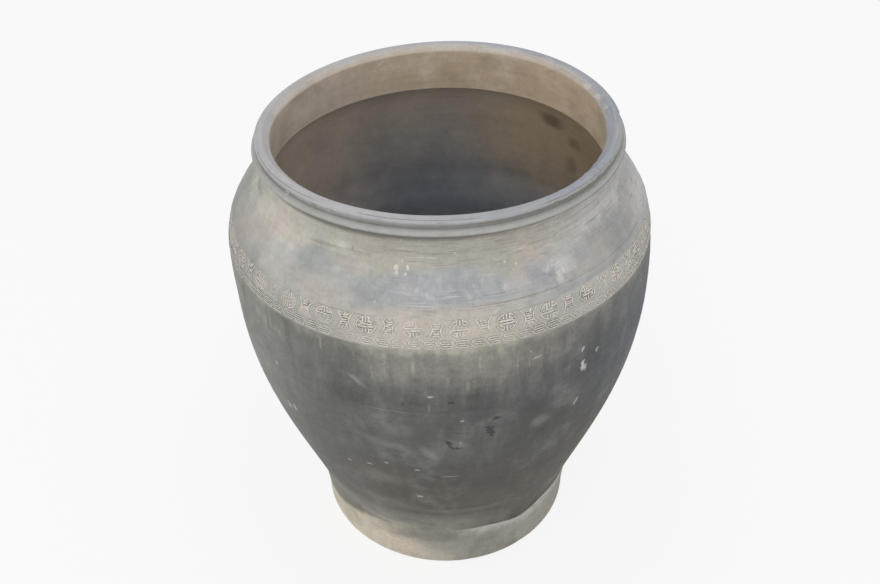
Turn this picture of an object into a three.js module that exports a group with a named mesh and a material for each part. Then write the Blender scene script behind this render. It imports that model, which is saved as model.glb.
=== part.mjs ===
// A wide-mouthed storage jar of grey clay, built from a slab, luted courses and coils.
// Millimetres, +Z up, with the origin at the centre of the underside.

import * as THREE from "three";

// Overall size
const JAR_HEIGHT = 530;
const BELLY_RADIUS = 230;

// Heights of the courses, from the floor up: three even plain courses fill what these leave of the height
const FOOT_COURSE_HEIGHT = 68;
const UPPER_BELLY_COURSE_HEIGHT = 80;
const FRET_BELT_HEIGHT = 12;
const MEDALLION_BELT_HEIGHT = 18;
const SHOULDER_COURSE_HEIGHT = 38;
const NECK_COURSE_HEIGHT = 31;
const LIP_HEIGHT = 16;

// Outline of the wall
const FOOT_RADIUS = 156.3;
const FOOT_FLARE = 6;
const FOOT_PROUD = 0.8;
const BELLY_HEIGHT = 350;
const LOWER_SWELL = 1.18;
const SHOULDER_TURN = 4.2;
const WALL = 13;
const BASE_THICKNESS = 16;
const CORNER_COIL = 14;
const CORNER_COIL_EDGE = 2;

// Neck and rim
const MOUTH_RADIUS = 171;
const NECK_WALL = 12;
const NECK_SPLAY = 6;
const NECK_FLARE = 4;
const NECK_DROP = 8;
const LIP_DROP = 6.8;
const LIP_SLOPE_WIDTH = 7.5;
const CREST_WIDTH = 2;
const RIDGE_PROJECTION = 4;
const RIDGE_DROP = 6.3;
const RIDGE_UNDERCUT = 1.4;
const COVE_HEIGHT = 3;
const BEAD_HEIGHT = 6.5;
const BEAD_PROJECTION = 7.5;
const BEAD_SEAT = 2;

// Joints: height of the lap between two courses, and thickness of the slip bed in it
const LAP = 6;
const SLIP = 0.3;

// Fineness of the faceted surfaces
const SEGMENTS = 48;
const FACET_HEIGHT = 24;
const ARC_STEPS = 6;

// Clay colours
const DARK_CLAY = 0x6c6d6a;
const MIDDLE_CLAY = 0x7d7c77;
const PALE_CLAY = 0xb3aa9a;
const FOOT_CLAY = 0xa79f92;
const SHOULDER_CLAY = 0xa09e97;
const NECK_CLAY = 0xa8a295;
const LIP_CLAY = 0xa3a3a4;
const FLOOR_CLAY = 0x55575a;

// Levels and radii that follow from the sizes above
const crest = JAR_HEIGHT;
const neckTop = crest - LIP_HEIGHT;
const neckBase = neckTop - NECK_COURSE_HEIGHT;
const innerNeckBase = neckBase - NECK_DROP;
const innerLipEdge = crest - LIP_DROP;
const ridgeHeight = crest - RIDGE_DROP;
const ridgeBottom = ridgeHeight - RIDGE_UNDERCUT;
const neckRadius = MOUTH_RADIUS + NECK_WALL;

const point = (radius, height) => new THREE.Vector2(radius, height);

// Outside of the wall at a height: a flared foot, a swelling lower body that follows a power of a sine,
// a shoulder that turns in with a power curve, and a neck that straightens as a parabola.
function outerRadius(height) {
  const footTop = FOOT_RADIUS + FOOT_FLARE;
  if (height <= FOOT_COURSE_HEIGHT) {
    return FOOT_RADIUS + FOOT_FLARE * (height / FOOT_COURSE_HEIGHT) ** 2;
  }
  if (height <= BELLY_HEIGHT) {
    const rise = (height - FOOT_COURSE_HEIGHT) / (BELLY_HEIGHT - FOOT_COURSE_HEIGHT);
    return footTop + (BELLY_RADIUS - footTop) * Math.sin((Math.PI / 2) * rise) ** LOWER_SWELL;
  }
  if (height <= neckBase) {
    const rise = (height - BELLY_HEIGHT) / (neckBase - BELLY_HEIGHT);
    return BELLY_RADIUS - (BELLY_RADIUS - neckRadius - NECK_FLARE) * rise ** SHOULDER_TURN;
  }
  const left = Math.max(0, (neckTop - height) / NECK_COURSE_HEIGHT);
  return neckRadius + NECK_FLARE * left ** 2;
}

// Inside of the wall at a height: one wall thickness in as far as the belly, then a like turn
// to the foot of the neck, then the neck's own cone up to the mouth.
function innerRadius(height) {
  if (height <= BELLY_HEIGHT) {
    return outerRadius(height) - WALL;
  }
  const innerBelly = BELLY_RADIUS - WALL;
  const innerNeck = MOUTH_RADIUS + NECK_SPLAY;
  if (height <= innerNeckBase) {
    const rise = (height - BELLY_HEIGHT) / (innerNeckBase - BELLY_HEIGHT);
    return innerBelly - (innerBelly - innerNeck) * rise ** SHOULDER_TURN;
  }
  const rise = (height - innerNeckBase) / (innerLipEdge - innerNeckBase);
  return innerNeck - NECK_SPLAY * rise;
}

const middleRadius = (height) => (outerRadius(height) + innerRadius(height)) / 2;

// Heights from low to high in even steps, with both ends.
function evenHeights(low, high) {
  const steps = Math.ceil((high - low) / FACET_HEIGHT);
  return Array.from({ length: steps + 1 }, (_, i) => low + ((high - low) * i) / steps);
}

const outerFace = (low, high) => evenHeights(low, high).map((z) => point(outerRadius(z), z));

const innerFace = (low, high) => evenHeights(low, high).reverse().map((z) => point(innerRadius(z), z));

// Points of an elliptic arc round a centre, between two angles.
function arc(centre, radiusAcross, radiusUp, from, to) {
  return Array.from({ length: ARC_STEPS + 1 }, (_, i) => {
    const angle = from + ((to - from) * i) / ARC_STEPS;
    return point(centre.x + radiusAcross * Math.cos(angle), centre.y + radiusUp * Math.sin(angle));
  });
}

// The inner half of a wall rises past the joint as a tongue.
const tongue = (joint) => [
  point(middleRadius(joint), joint),
  point(middleRadius(joint + LAP), joint + LAP),
];

// The next course is cut away over that tongue, with a bed of slip between the two.
const rabbet = (joint) => [
  point(middleRadius(joint + LAP + SLIP) + SLIP, joint + LAP + SLIP),
  point(middleRadius(joint) + SLIP, joint),
];

// A course between two joints, lapped over the one below and under the one above.
function courseProfile(low, high) {
  return [
    ...outerFace(low, high),
    ...tongue(high),
    ...innerFace(low + LAP + SLIP, high + LAP),
    ...rabbet(low),
  ];
}

// The foot stands a little proud of the wall above, and its inner half rests on the edge of the slab.
function footProfile() {
  const outside = outerFace(0, FOOT_COURSE_HEIGHT).map((p) => point(p.x + FOOT_PROUD, p.y));
  return [
    ...outside,
    ...tongue(FOOT_COURSE_HEIGHT),
    ...innerFace(BASE_THICKNESS, FOOT_COURSE_HEIGHT + LAP),
    point(middleRadius(BASE_THICKNESS), BASE_THICKNESS),
    point(middleRadius(BASE_THICKNESS), 0),
  ];
}

function slabProfile() {
  const edge = middleRadius(BASE_THICKNESS) - SLIP;
  return [point(0, 0), point(edge, 0), point(edge, BASE_THICKNESS), point(0, BASE_THICKNESS)];
}

// A hollow-faced coil in the corner of floor and wall.
function cornerCoilProfile() {
  const top = BASE_THICKNESS + CORNER_COIL;
  const corner = innerRadius(BASE_THICKNESS) - SLIP;
  const hollow = point(corner - CORNER_COIL, top);
  const reach = CORNER_COIL - CORNER_COIL_EDGE;
  return [
    point(corner, BASE_THICKNESS),
    point(innerRadius(top) - SLIP, top),
    ...arc(hollow, reach, reach, 0, -Math.PI / 2),
    point(hollow.x, BASE_THICKNESS),
  ];
}

// The neck is cut level on top, for the lip to sit on.
function neckProfile() {
  return [
    ...outerFace(neckBase, neckTop),
    ...innerFace(neckBase + LAP + SLIP, neckTop),
    ...rabbet(neckBase),
  ];
}

// The lip slopes up from the mouth to a narrow level crest, then rounds over to a ridge outside.
function lipProfile() {
  const slopeTop = MOUTH_RADIUS + LIP_SLOPE_WIDTH;
  const crestEdge = slopeTop + CREST_WIDTH;
  const ridge = neckRadius + RIDGE_PROJECTION;
  return [
    point(neckRadius, neckTop),
    point(neckRadius, ridgeBottom),
    ...arc(point(crestEdge, ridgeHeight), ridge - crestEdge, RIDGE_DROP, 0, Math.PI / 2),
    point(slopeTop, crest),
    point(MOUTH_RADIUS, innerLipEdge),
    point(innerRadius(neckTop), neckTop),
  ];
}

// The bead is a half-round coil seated on the neck and the lip, with a cove between it and the ridge.
function beadProfile() {
  const top = ridgeBottom - COVE_HEIGHT;
  const low = top - BEAD_HEIGHT;
  const seat = neckRadius + SLIP;
  const centre = point(seat + BEAD_SEAT, (low + top) / 2);
  const across = BEAD_PROJECTION - BEAD_SEAT;
  return [
    point(seat, low),
    ...arc(centre, across, BEAD_HEIGHT / 2, -Math.PI / 2, Math.PI / 2),
    point(seat, top),
  ];
}

// Turn a profile round the jar's axis. A ring's profile is closed on itself.
function turned(name, profile, colour) {
  const onAxis = profile[0].x === 0;
  const outline = onAxis ? profile : [...profile, profile[0].clone()];
  const geometry = new THREE.LatheGeometry(outline, SEGMENTS);
  geometry.rotateX(Math.PI / 2);
  const material = new THREE.MeshStandardMaterial({ color: colour, roughness: 0.9, metalness: 0 });
  const mesh = new THREE.Mesh(geometry, material);
  mesh.name = name;
  return mesh;
}

// Courses of the wall above the foot, from the bottom up
const plainCourses = ["lower_course", "middle_course", "belly_course"];
const upperCourses = [
  ["upper_belly_course", UPPER_BELLY_COURSE_HEIGHT, MIDDLE_CLAY],
  ["fret_belt", FRET_BELT_HEIGHT, PALE_CLAY],
  ["medallion_belt", MEDALLION_BELT_HEIGHT, PALE_CLAY],
  ["shoulder_course", SHOULDER_COURSE_HEIGHT, SHOULDER_CLAY],
];
const upperCoursesHeight = upperCourses.reduce((sum, [, height]) => sum + height, 0);
const plainWallHeight = neckBase - FOOT_COURSE_HEIGHT - upperCoursesHeight;
const plainCourseHeight = plainWallHeight / plainCourses.length;
const courses = [...plainCourses.map((name) => [name, plainCourseHeight, DARK_CLAY]), ...upperCourses];

const jar = new THREE.Group();
jar.add(turned("base_slab", slabProfile(), FLOOR_CLAY));
jar.add(turned("base_corner_coil", cornerCoilProfile(), FLOOR_CLAY));
jar.add(turned("foot_course", footProfile(), FOOT_CLAY));
let joint = FOOT_COURSE_HEIGHT;
for (const [name, height, colour] of courses) {
  jar.add(turned(name, courseProfile(joint, joint + height), colour));
  joint += height;
}
jar.add(turned("neck_course", neckProfile(), NECK_CLAY));
jar.add(turned("rim_bead_coil", beadProfile(), LIP_CLAY));
jar.add(turned("lip_coil", lipProfile(), LIP_CLAY));

export default jar;
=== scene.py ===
# %% [markdown]
# # A grey clay storage jar
# The jar is a wide-mouthed pot of smoked grey clay, built from a slab with a coil in its corner, a stack
# of luted courses and two coils at the rim. The CAD model is loaded first, as a fixed frame. It gives the
# joints between the courses, and every piece made here stands where its solid stands.

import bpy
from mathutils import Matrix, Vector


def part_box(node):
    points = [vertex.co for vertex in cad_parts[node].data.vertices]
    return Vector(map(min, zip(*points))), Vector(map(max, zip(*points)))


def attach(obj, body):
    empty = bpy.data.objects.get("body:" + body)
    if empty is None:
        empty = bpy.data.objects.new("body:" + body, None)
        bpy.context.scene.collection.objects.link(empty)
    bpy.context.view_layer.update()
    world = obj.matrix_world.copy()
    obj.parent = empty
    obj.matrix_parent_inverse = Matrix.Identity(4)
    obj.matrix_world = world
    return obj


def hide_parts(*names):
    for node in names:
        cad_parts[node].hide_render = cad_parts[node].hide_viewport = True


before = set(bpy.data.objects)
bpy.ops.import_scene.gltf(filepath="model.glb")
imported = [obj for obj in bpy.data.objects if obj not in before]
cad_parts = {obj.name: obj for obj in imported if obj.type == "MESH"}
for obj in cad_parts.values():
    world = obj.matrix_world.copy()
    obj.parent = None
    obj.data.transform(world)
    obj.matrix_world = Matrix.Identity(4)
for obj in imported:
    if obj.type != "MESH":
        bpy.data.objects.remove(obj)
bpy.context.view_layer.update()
print("the frame has", len(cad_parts), "solids")

# %% Modules
import math

import bpy
import numpy as np
from mathutils import Matrix, Vector

print("Blender", bpy.app.version_string)

# %% [markdown]
# ## The outline of the wall
# A pot is a surface of turning, so its wall is two curves: the outside and the inside radius at each
# height. One could trace the curves by hand, but a few formulas with named sizes are easier to read and
# to change: a flaring foot, a lower body that swells like a sine, a shoulder that turns in like a power
# curve, and a short neck. The joints come from the frame. All lengths are in metres.

# %% Joints read from the frame
COURSES = ["lower_course", "middle_course", "belly_course", "upper_belly_course",
           "fret_belt", "medallion_belt", "shoulder_course", "neck_course"]
joint_under = {name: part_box(name)[0].z for name in COURSES}
foot_top = joint_under["lower_course"]
seam = joint_under["upper_belly_course"]
fret_low = joint_under["fret_belt"]
stamps_low = joint_under["medallion_belt"]
belt_top = joint_under["shoulder_course"]
neck_base = joint_under["neck_course"]
neck_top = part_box("lip_coil")[0].z
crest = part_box("lip_coil")[1].z
slab_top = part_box("base_slab")[1].z
joints_mm = [round(z * 1000) for z in joint_under.values()]
print("joints at", joints_mm, "mm, crest at", round(crest * 1000), "mm")

# %% Outside and inside of the wall
MM = 0.001
FOOT_RADIUS = 156.3 * MM
FOOT_FLARE = 6 * MM
BELLY_RADIUS = 230 * MM
BELLY_HEIGHT = 350 * MM
LOWER_SWELL = 1.18
SHOULDER_TURN = 4.2
WALL = 13 * MM
MOUTH_RADIUS = 171 * MM
NECK_RADIUS = 183 * MM
NECK_SPLAY = 6 * MM
NECK_FLARE = 4 * MM
NECK_DROP = 8 * MM
LIP_DROP = 6.8 * MM
CREASE_ROUND = 9 * MM
CREASE_SAMPLES = 11
inner_neck_base = neck_base - NECK_DROP
inner_lip_edge = crest - LIP_DROP


def share(value, low, high):
    """How far value lies between low and high, held between 0 and 1."""
    return np.clip((value - low) / (high - low), 0, 1)


def soft_step(value, low, high):
    """The same share, eased at both ends: 3t² - 2t³."""
    t = share(value, low, high)
    return t * t * (3 - 2 * t)


def at_least(least, value):
    """From the least share where the value is 0 up to 1 where it is 1."""
    return least + (1 - least) * value


def sharp_radius(z):
    """Outside radius: a parabola up the foot, a power of a sine up to the belly, a power curve over the
    shoulder, and a parabola up the neck."""
    foot = FOOT_RADIUS + FOOT_FLARE * (z / foot_top) ** 2
    waist = FOOT_RADIUS + FOOT_FLARE
    swell = np.sin(np.pi / 2 * share(z, foot_top, BELLY_HEIGHT)) ** LOWER_SWELL
    body = waist + (BELLY_RADIUS - waist) * swell
    turn = share(z, BELLY_HEIGHT, neck_base) ** SHOULDER_TURN
    shoulder = BELLY_RADIUS - (BELLY_RADIUS - NECK_RADIUS - NECK_FLARE) * turn
    neck = NECK_RADIUS + NECK_FLARE * (1 - share(z, neck_base, neck_top)) ** 2
    return np.select([z <= foot_top, z <= BELLY_HEIGHT, z <= neck_base], [foot, body, shoulder], neck)


def outer_radius(z):
    """The same outside with its creases wiped round: the mean over a short stretch of height."""
    steps = np.linspace(-CREASE_ROUND, CREASE_ROUND, CREASE_SAMPLES)
    return np.mean([sharp_radius(z + step) for step in steps], axis=0)


def inner_radius(z):
    """Inside radius: one wall in from the outside up to the belly, then a like turn to the foot of the
    neck, then the neck's cone."""
    inner_belly = BELLY_RADIUS - WALL
    inner_neck = MOUTH_RADIUS + NECK_SPLAY
    turn = share(z, BELLY_HEIGHT, inner_neck_base) ** SHOULDER_TURN
    shoulder = inner_belly - (inner_belly - inner_neck) * turn
    neck = inner_neck - NECK_SPLAY * share(z, inner_neck_base, inner_lip_edge)
    return np.select([z <= BELLY_HEIGHT, z <= inner_neck_base], [outer_radius(z) - WALL, shoulder], neck)


def middle_radius(z):
    """Radius halfway through the wall, where the lap joints run."""
    return (outer_radius(z) + inner_radius(z)) / 2


print("belly", round(2000 * BELLY_RADIUS), "mm across, mouth", round(2000 * MOUTH_RADIUS), "mm across")

# %% [markdown]
# ## The potter's hand
# A real jar is never quite round. Its shoulder sits a little off the axis, its waist is pinched, its rim
# is warped by a millimetre or two, and the fingers leave a slow spiral. Sculpting that by hand would
# never meet at the joints. Here it is a function of angle and height, shared by all pieces, so that
# neighbours meet.

# %% Unevenness of the wall
SHOULDER_LEAN = (-2.2 * MM, 430 * MM, 50 * MM)
FOOT_LEAN = (-0.8 * MM, 30 * MM, 90 * MM)
WAIST_PINCH = (1.3 * MM, 76 * MM, 16 * MM)
SWAY = 0.45 * MM
SPIRAL_DEPTH = 0.1 * MM
SPIRAL_PITCH = 10.5 * MM
SPIRAL_REACH = 220 * MM
FLAT_FOOT = 20 * MM
RIM_CALM = 0.6
RIM_TILT = -1.2 * MM
RIM_WARP = (1.0 * MM, -1.7 * MM)


def bell(value, centre, width):
    """A bell curve: e to the minus square of the distance from the centre, in widths."""
    return np.exp(-(((value - centre) / width) ** 2))


def lean(z):
    """How far the jar's middle lies to the side at a height: one bell at the shoulder, one at the foot."""
    return sum(side * bell(z, centre, width) for side, centre, width in (SHOULDER_LEAN, FOOT_LEAN))


def rim_rise(angle, z):
    """How far the rim lies above its level: tilted to one side and warped in two double waves round it."""
    warp = RIM_WARP[0] * np.cos(2 * angle) + RIM_WARP[1] * np.sin(2 * angle)
    return (RIM_TILT * np.sin(angle) + warp) * soft_step(z, belt_top, neck_top)


def waves(angle, z, seed, count, turns, rises):
    """Sum of sine waves round and up the jar, from -1 to 1: whole turns, so that the ends meet."""
    rng = np.random.default_rng(seed)
    total = np.zeros(np.broadcast(angle, z).shape)
    for _ in range(count):
        around = rng.integers(turns[0], turns[1] + 1)
        up = rng.uniform(-rises, rises)
        total = total + np.sin(around * angle + up * z + rng.uniform(0, 2 * np.pi))
    return total / count


def patchy(angle, z, low, high, **wave):
    """Patches that come and go round the jar: the waves, eased from 0 at low to 1 at high."""
    return soft_step(waves(angle, z, **wave), low, high)


def unevenness(angle, z):
    """Radial offset: sway and throwing spiral, calmer at foot and rim, less the pinch of the waist."""
    sway = SWAY * waves(angle, z, seed=3, count=7, turns=(1, 4), rises=30)
    spiral = SPIRAL_DEPTH * np.sin(2 * np.pi * z / SPIRAL_PITCH + angle)
    calm_rim = 1 - RIM_CALM * soft_step(z, neck_base, neck_top)
    pinch = WAIST_PINCH[0] * bell(z, *WAIST_PINCH[1:])
    thrown = sway + spiral * bell(z, BELLY_HEIGHT, SPIRAL_REACH)
    return thrown * calm_rim * soft_step(z, 0, FLAT_FOOT) - pinch


print("shoulder leans", SHOULDER_LEAN[0] / MM, "mm, rim warps up to", RIM_WARP[1] / MM, "mm")

# %% [markdown]
# ## Turning a ring
# Every course is a closed ring. Its section is a loop of stations: up the outside, over the tongue of the
# lap joint, down the inside, and back through the rabbet. Carrying that loop round the axis gives a grid
# of stations by angles, and one numpy array holds all of it. The faces of the hidden joints are left
# flat-shaded, so that the shading of the visible faces isn't bent at their edges.


def angles(count):
    """Even angles round the jar: 0 at the front, towards the camera, and rising to the right."""
    return np.linspace(-np.pi, np.pi, count, endpoint=False)


def fill_mesh(name, corners, quads, smooth):
    """A mesh from an array of corners and an array of quads, with smooth or flat shading for each quad."""
    mesh = bpy.data.meshes.new(name)
    mesh.vertices.add(len(corners))
    mesh.vertices.foreach_set("co", corners.astype(np.float32).ravel())
    mesh.loops.add(quads.size)
    mesh.loops.foreach_set("vertex_index", quads.astype(np.int32).ravel())
    mesh.polygons.add(len(quads))
    mesh.polygons.foreach_set("loop_start", np.arange(0, quads.size, 4, dtype=np.int32))
    mesh.polygons.foreach_set("use_smooth", smooth)
    mesh.update(calc_edges=True)
    return mesh


def tag(mesh, name, values):
    """A number for each corner of the mesh, which its material can read."""
    layer = mesh.attributes.new(name, "FLOAT", "POINT")
    layer.data.foreach_set("value", values.astype(np.float32).ravel())


def crease(mesh, stations):
    """Part the shading along some stations: their corners have the station's number, all others -1."""
    pairs = np.empty(len(mesh.edges) * 2, np.int32)
    mesh.edges.foreach_get("vertices", pairs)
    ends = stations[pairs.reshape(-1, 2)]
    mesh.edges.foreach_set("use_edge_sharp", (ends[:, 0] >= 0) & (ends[:, 0] == ends[:, 1]))


def stand_for(mesh, node):
    """The scene's piece for a CAD node: it rides on the body and replaces the node."""
    piece = bpy.data.objects.new(mesh.name, mesh)
    bpy.context.scene.collection.objects.link(piece)
    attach(piece, "root")
    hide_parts(node)
    print(f"{piece.name}: {len(mesh.polygons) * 2} triangles")
    return piece


# %% From stretches of a section to a ring
INSIDE = 1.0
OUTSIDE = 0.0
print("the tag named inside is", INSIDE, "on the inside and", OUTSIDE, "on the outside")


def joined_section(stretches):
    """The stretches of a section end to end: heights, radii, sides, and which shade smooth."""
    heights = np.concatenate([stretch[0] for stretch in stretches])
    radii = np.concatenate([stretch[1] for stretch in stretches])
    side = np.concatenate([np.broadcast_to(stretch[2], len(stretch[0])) for stretch in stretches])
    smooth = np.concatenate([np.arange(len(s[0])) < (len(s[0]) - 1) * s[3] for s in stretches])
    return heights, radii, side, smooth


def closed_quads(shape):
    """The four corners of each cell of a grid that closes on itself both ways."""
    here = np.arange(shape[0] * shape[1]).reshape(shape)
    right = np.roll(here, -1, axis=1)
    quads = np.stack([here, right, np.roll(right, -1, axis=0), np.roll(here, -1, axis=0)], axis=-1)
    return quads.reshape(-1, 4)


def ring(node, stretches, angle, offset, relief):
    """A closed ring from the stretches of its section, in order. A stretch is a row of heights, a row of
    radii, which side it is on, and whether it is shaded smooth. offset (metres) and relief (millimetres,
    for the material) belong to the first stretch, row by angle.
    x = r sin(angle) + lean, y = -r cos(angle), z = height + rim rise."""
    heights, radii, side, smooth = joined_section(stretches)
    level = np.repeat(heights[:, None], len(angle), axis=1)
    radius = radii[:, None] + unevenness(angle, level)
    radius[:len(offset)] += offset
    pressed = np.zeros(radius.shape)
    pressed[:len(offset)] = relief
    x = radius * np.sin(angle) + lean(level)
    corners = np.stack([x, -radius * np.cos(angle), level + rim_rise(angle, level)], axis=-1)
    shading = np.repeat(smooth, len(angle))
    mesh = fill_mesh(f"fired_{node}", corners.reshape(-1, 3), closed_quads(radius.shape), shading)
    joined = np.roll(smooth, 1) & smooth
    crease(mesh, np.repeat(np.where(joined, -1, np.arange(len(heights))), len(angle)))
    tag(mesh, "inside", np.repeat(side, len(angle)))
    tag(mesh, "relief", pressed)
    return stand_for(mesh, node)


# %% A course with its lap joints
LAP = 6 * MM
SLIP = 0.3 * MM
HAIR = 0.02 * MM


def rows(low, high, step):
    """Even heights from low to high, both ends included, no further apart than step."""
    return np.linspace(low, high, int(np.ceil((high - low) / step)) + 1)


def course(node, outside, inside, angle, offset, relief, seat=None, joint_above=True):
    """A ring between two joints. outside and inside are rows of heights, from low to high. It laps over the
    tongue below it with a rabbet, or else it stands on a seat of its own."""
    low, high = outside[0], outside[-1]
    tongue = np.array([high, high + LAP])
    rabbet = np.array([low + LAP + SLIP, low])
    if seat is None:
        seat = (rabbet, middle_radius(rabbet) + SLIP, INSIDE, False)
    stretches = [(outside, outer_radius(outside), OUTSIDE, True),
                 (tongue, middle_radius(tongue), INSIDE, False),
                 (inside[::-1], inner_radius(inside[::-1]), INSIDE, True),
                 seat]
    if not joint_above:
        del stretches[1]
    return ring(node, stretches, angle, offset, relief)


print("lap joints are", LAP / MM, "mm deep, with", SLIP / MM, "mm of slip")

# %% [markdown]
# ## The plain courses
# Three even courses of smoked clay make the tapering wall, and a fourth carries it over the belly.
# Between the third and the fourth the joint shows as a worn seam, a little higher on the left than on the
# right. A fine mesh all over could carry it, but most of the wall is plain, so the rows crowd together
# only near the seam and a groove is pressed into them. It is deep in some places and nearly gone in
# others.

# %% Plain courses
WALL_STEPS = 640
WALL_ROW = 2.2 * MM
INNER_ROW = 4.5 * MM
SEAM_DEPTH = 0.5 * MM
SEAM_WIDTH = 0.9 * MM
SEAM_ROW = 0.5 * MM
SEAM_REACH = 10 * MM
SEAM_TILT = 7 * MM
SEAM_DROP = 2 * MM
SEAM_WANDER = 0.9 * MM
DENT_DEPTH = 0.45 * MM
DENT_MARGIN = 4 * MM
wall_angle = angles(WALL_STEPS)


def crowded_rows(low, high):
    """Rows of the wall, crowded near the seam."""
    parts = [rows(low, high, WALL_ROW), rows(seam - SEAM_REACH, seam + SEAM_REACH, SEAM_ROW)]
    heights = np.concatenate(parts)
    heights = heights[(heights > low + SEAM_ROW / 2) & (heights < high - SEAM_ROW / 2)]
    return np.concatenate([[low], np.unique(heights.round(5)), [high]])


def worn_seam(angle, z):
    """A groove that wanders round the joint: a bell across it, times a wear that comes and goes."""
    wear = patchy(angle, z, seed=11, count=5, turns=(2, 7), rises=0, low=-0.25, high=0.35)
    wander = SEAM_WANDER * waves(angle, z, seed=12, count=4, turns=(3, 9), rises=0)
    middle = seam - SEAM_DROP - SEAM_TILT * np.sin(angle) + wander
    return -SEAM_DEPTH * wear * bell(z, middle, SEAM_WIDTH)


def shallow_dents(angle, z):
    """Dents from handling: the highest parts of a wavy field, pressed in."""
    return -DENT_DEPTH * patchy(angle, z, seed=21, count=9, turns=(5, 19), rises=110, low=0.28, high=0.7)


def calm_ends(z, low, high, reach):
    """1 over most of a course and 0 at its joints, so that neighbours meet."""
    return soft_step(z, low, low + reach) * soft_step(z, high, high - reach)


def plain_course(node, above):
    """A course from its own joint up to the joint of the one above, with seam and dents."""
    low, high = joint_under[node], joint_under[above]
    outside = crowded_rows(low, high)
    inside = rows(low + LAP + HAIR, high + LAP, INNER_ROW)
    z = outside[:, None]
    groove = worn_seam(wall_angle, z)
    dents = shallow_dents(wall_angle, z) * calm_ends(z, low, high, DENT_MARGIN)
    return course(node, outside, inside, wall_angle, groove + dents, groove / MM)


plain_pieces = {node: plain_course(node, above) for node, above in zip(COURSES[:4], COURSES[1:5])}

# %% [markdown]
# ## The foot
# The foot is paler, and at the front and the right it stands a hair proud of the wall above, which leaves
# the fine edge that catches the light. A painted line would not turn with the light, so the edge is
# modelled, and its material adds a painted highlight below it. The foot is a course like the others, but
# it stands round the floor slab instead of over a tongue, and its ground edge is worn round and nicked.

# %% Foot course
FOOT_PROUD = 0.8 * MM
PROUD_SIDES = (-0.6, 0.1)
PROUD_ABOVE = 0.4 * MM
PROUD_BELOW = 1.6 * MM
EDGE_DIP = 8.5 * MM
DIP_START = (0.045, 0.095)
DIP_END = (0.125, 0.090)
GROUND_EDGE = 6 * MM
GROUND_ROW = 0.6 * MM
GROUND_ROUND = 2.5 * MM
NICK = 1.2 * MM


def proud_edge(angle, z):
    """How far the foot stands out below its edge, which dips at the right; it fades out at the left."""
    side = np.sin(angle)
    across = FOOT_RADIUS * side
    edge = foot_top - EDGE_DIP * soft_step(across, *DIP_START) * soft_step(across, *DIP_END)
    below = soft_step(z, edge + PROUD_ABOVE, edge - PROUD_BELOW)
    return FOOT_PROUD * soft_step(side, *PROUD_SIDES) * below


def worn_ground(angle, z):
    """How far the ground edge is worn back: a quarter circle, and nicks that grow towards the ground."""
    below = 1 - share(z, 0, GROUND_ROUND)
    nicks = patchy(angle, z, seed=31, count=8, turns=(8, 40), rises=60, low=0.2, high=0.8)
    return GROUND_ROUND * (1 - np.sqrt(1 - below**2)) + NICK * nicks * below


def foot_course():
    """Up the outside, over the tongue, down the inside to the slab, and down the seat round the slab."""
    ground = rows(0, GROUND_EDGE, GROUND_ROW)[:-1]
    outside = np.concatenate([ground, rows(GROUND_EDGE, foot_top, WALL_ROW / 2)])
    inside = rows(slab_top, foot_top + LAP, INNER_ROW)
    seat = (np.array([slab_top, 0.0]), np.repeat(middle_radius(slab_top), 2), INSIDE, False)
    z = outside[:, None]
    dents = shallow_dents(wall_angle, z) * calm_ends(z, 0, foot_top, DENT_MARGIN)
    offset = proud_edge(wall_angle, z) - worn_ground(wall_angle, z) + dents
    return course("foot_course", outside, inside, wall_angle, offset, 0.0, seat)


foot_piece = foot_course()

# %% [markdown]
# ## The stamped belts
# Two belts of pressed ornament run round the shoulder: a running key fret, and above it a row of round
# fret stamps with hourglass marks between them. Bump in a material would vanish at the outline, so the
# ornament is real relief. Each stroke is a distance: points nearer to it than half its width are raised.
# The fields are folded over each repeat, so one drawing makes the whole row, and each stamp then gets its
# own tilt and wear. The drawings are in millimetres, all else is in metres.

# %% Strokes from distances
BELT_STEPS = 2592
STROKE_WOBBLE = 0.5
STROKE_SOFT = 0.45
belt_angle = angles(BELT_STEPS)


def to_segment(x, y, start, end):
    """Distance from points to a straight stroke."""
    along = np.array(end) - np.array(start)
    t = np.clip(((x - start[0]) * along[0] + (y - start[1]) * along[1]) / along.dot(along), 0, 1)
    return np.hypot(x - start[0] - t * along[0], y - start[1] - t * along[1])


def to_path(x, y, points):
    """Distance to a stroke with corners."""
    return np.minimum.reduce([to_segment(x, y, a, b) for a, b in zip(points[:-1], points[1:])])


def raised(distance, width):
    """A rounded stroke: 1 along its middle, eased to 0 at its edges."""
    return soft_step(distance, 0.5 * width + STROKE_SOFT, 0.5 * width - STROKE_SOFT)


def wobble(angle, z, seed):
    """Millimetres by which a pressed stroke strays from its drawing."""
    return STROKE_WOBBLE * waves(angle, z, seed=seed, count=14, turns=(90, 420), rises=1300)


print("the belts have", BELT_STEPS, "steps round")

# %% Key fret
FRET_STAMPS = 12
UNITS_PER_STAMP = 8
FRET_STROKE = 1.55
FRET_HEIGHT = 0.9 * MM
FRET_REACH = 4.9
FRET_SOFT = 0.4
FRET_DROP = 0.5
FRET_GAP = 0.7
PRESSED = (0.7, 1.0)
FIELD_LEFT = 0.5
FRET_LEFT = 0.6
FRET_CORNERS = [(0.64, 0, 1.2), (0.12, 0, 1.2), (0.12, -1, 2.4), (0.12, 0, 3.6), (0.72, 0, 3.6),
                (1.12, 0, -3.6), (1.72, 0, -3.6), (1.72, 1, -2.4), (1.72, 0, -1.2), (1.2, 0, -1.2)]
fret_middle = (fret_low + stamps_low) / 2


def fret_path(pitch):
    """One stroke of the fret, in millimetres: a hook, the top bar, a slanted step, the bottom bar, a hook.
    A corner is a share of the pitch, what is added to it, and a height."""
    return [(part * pitch + extra, height) for part, extra, height in FRET_CORNERS]


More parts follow.
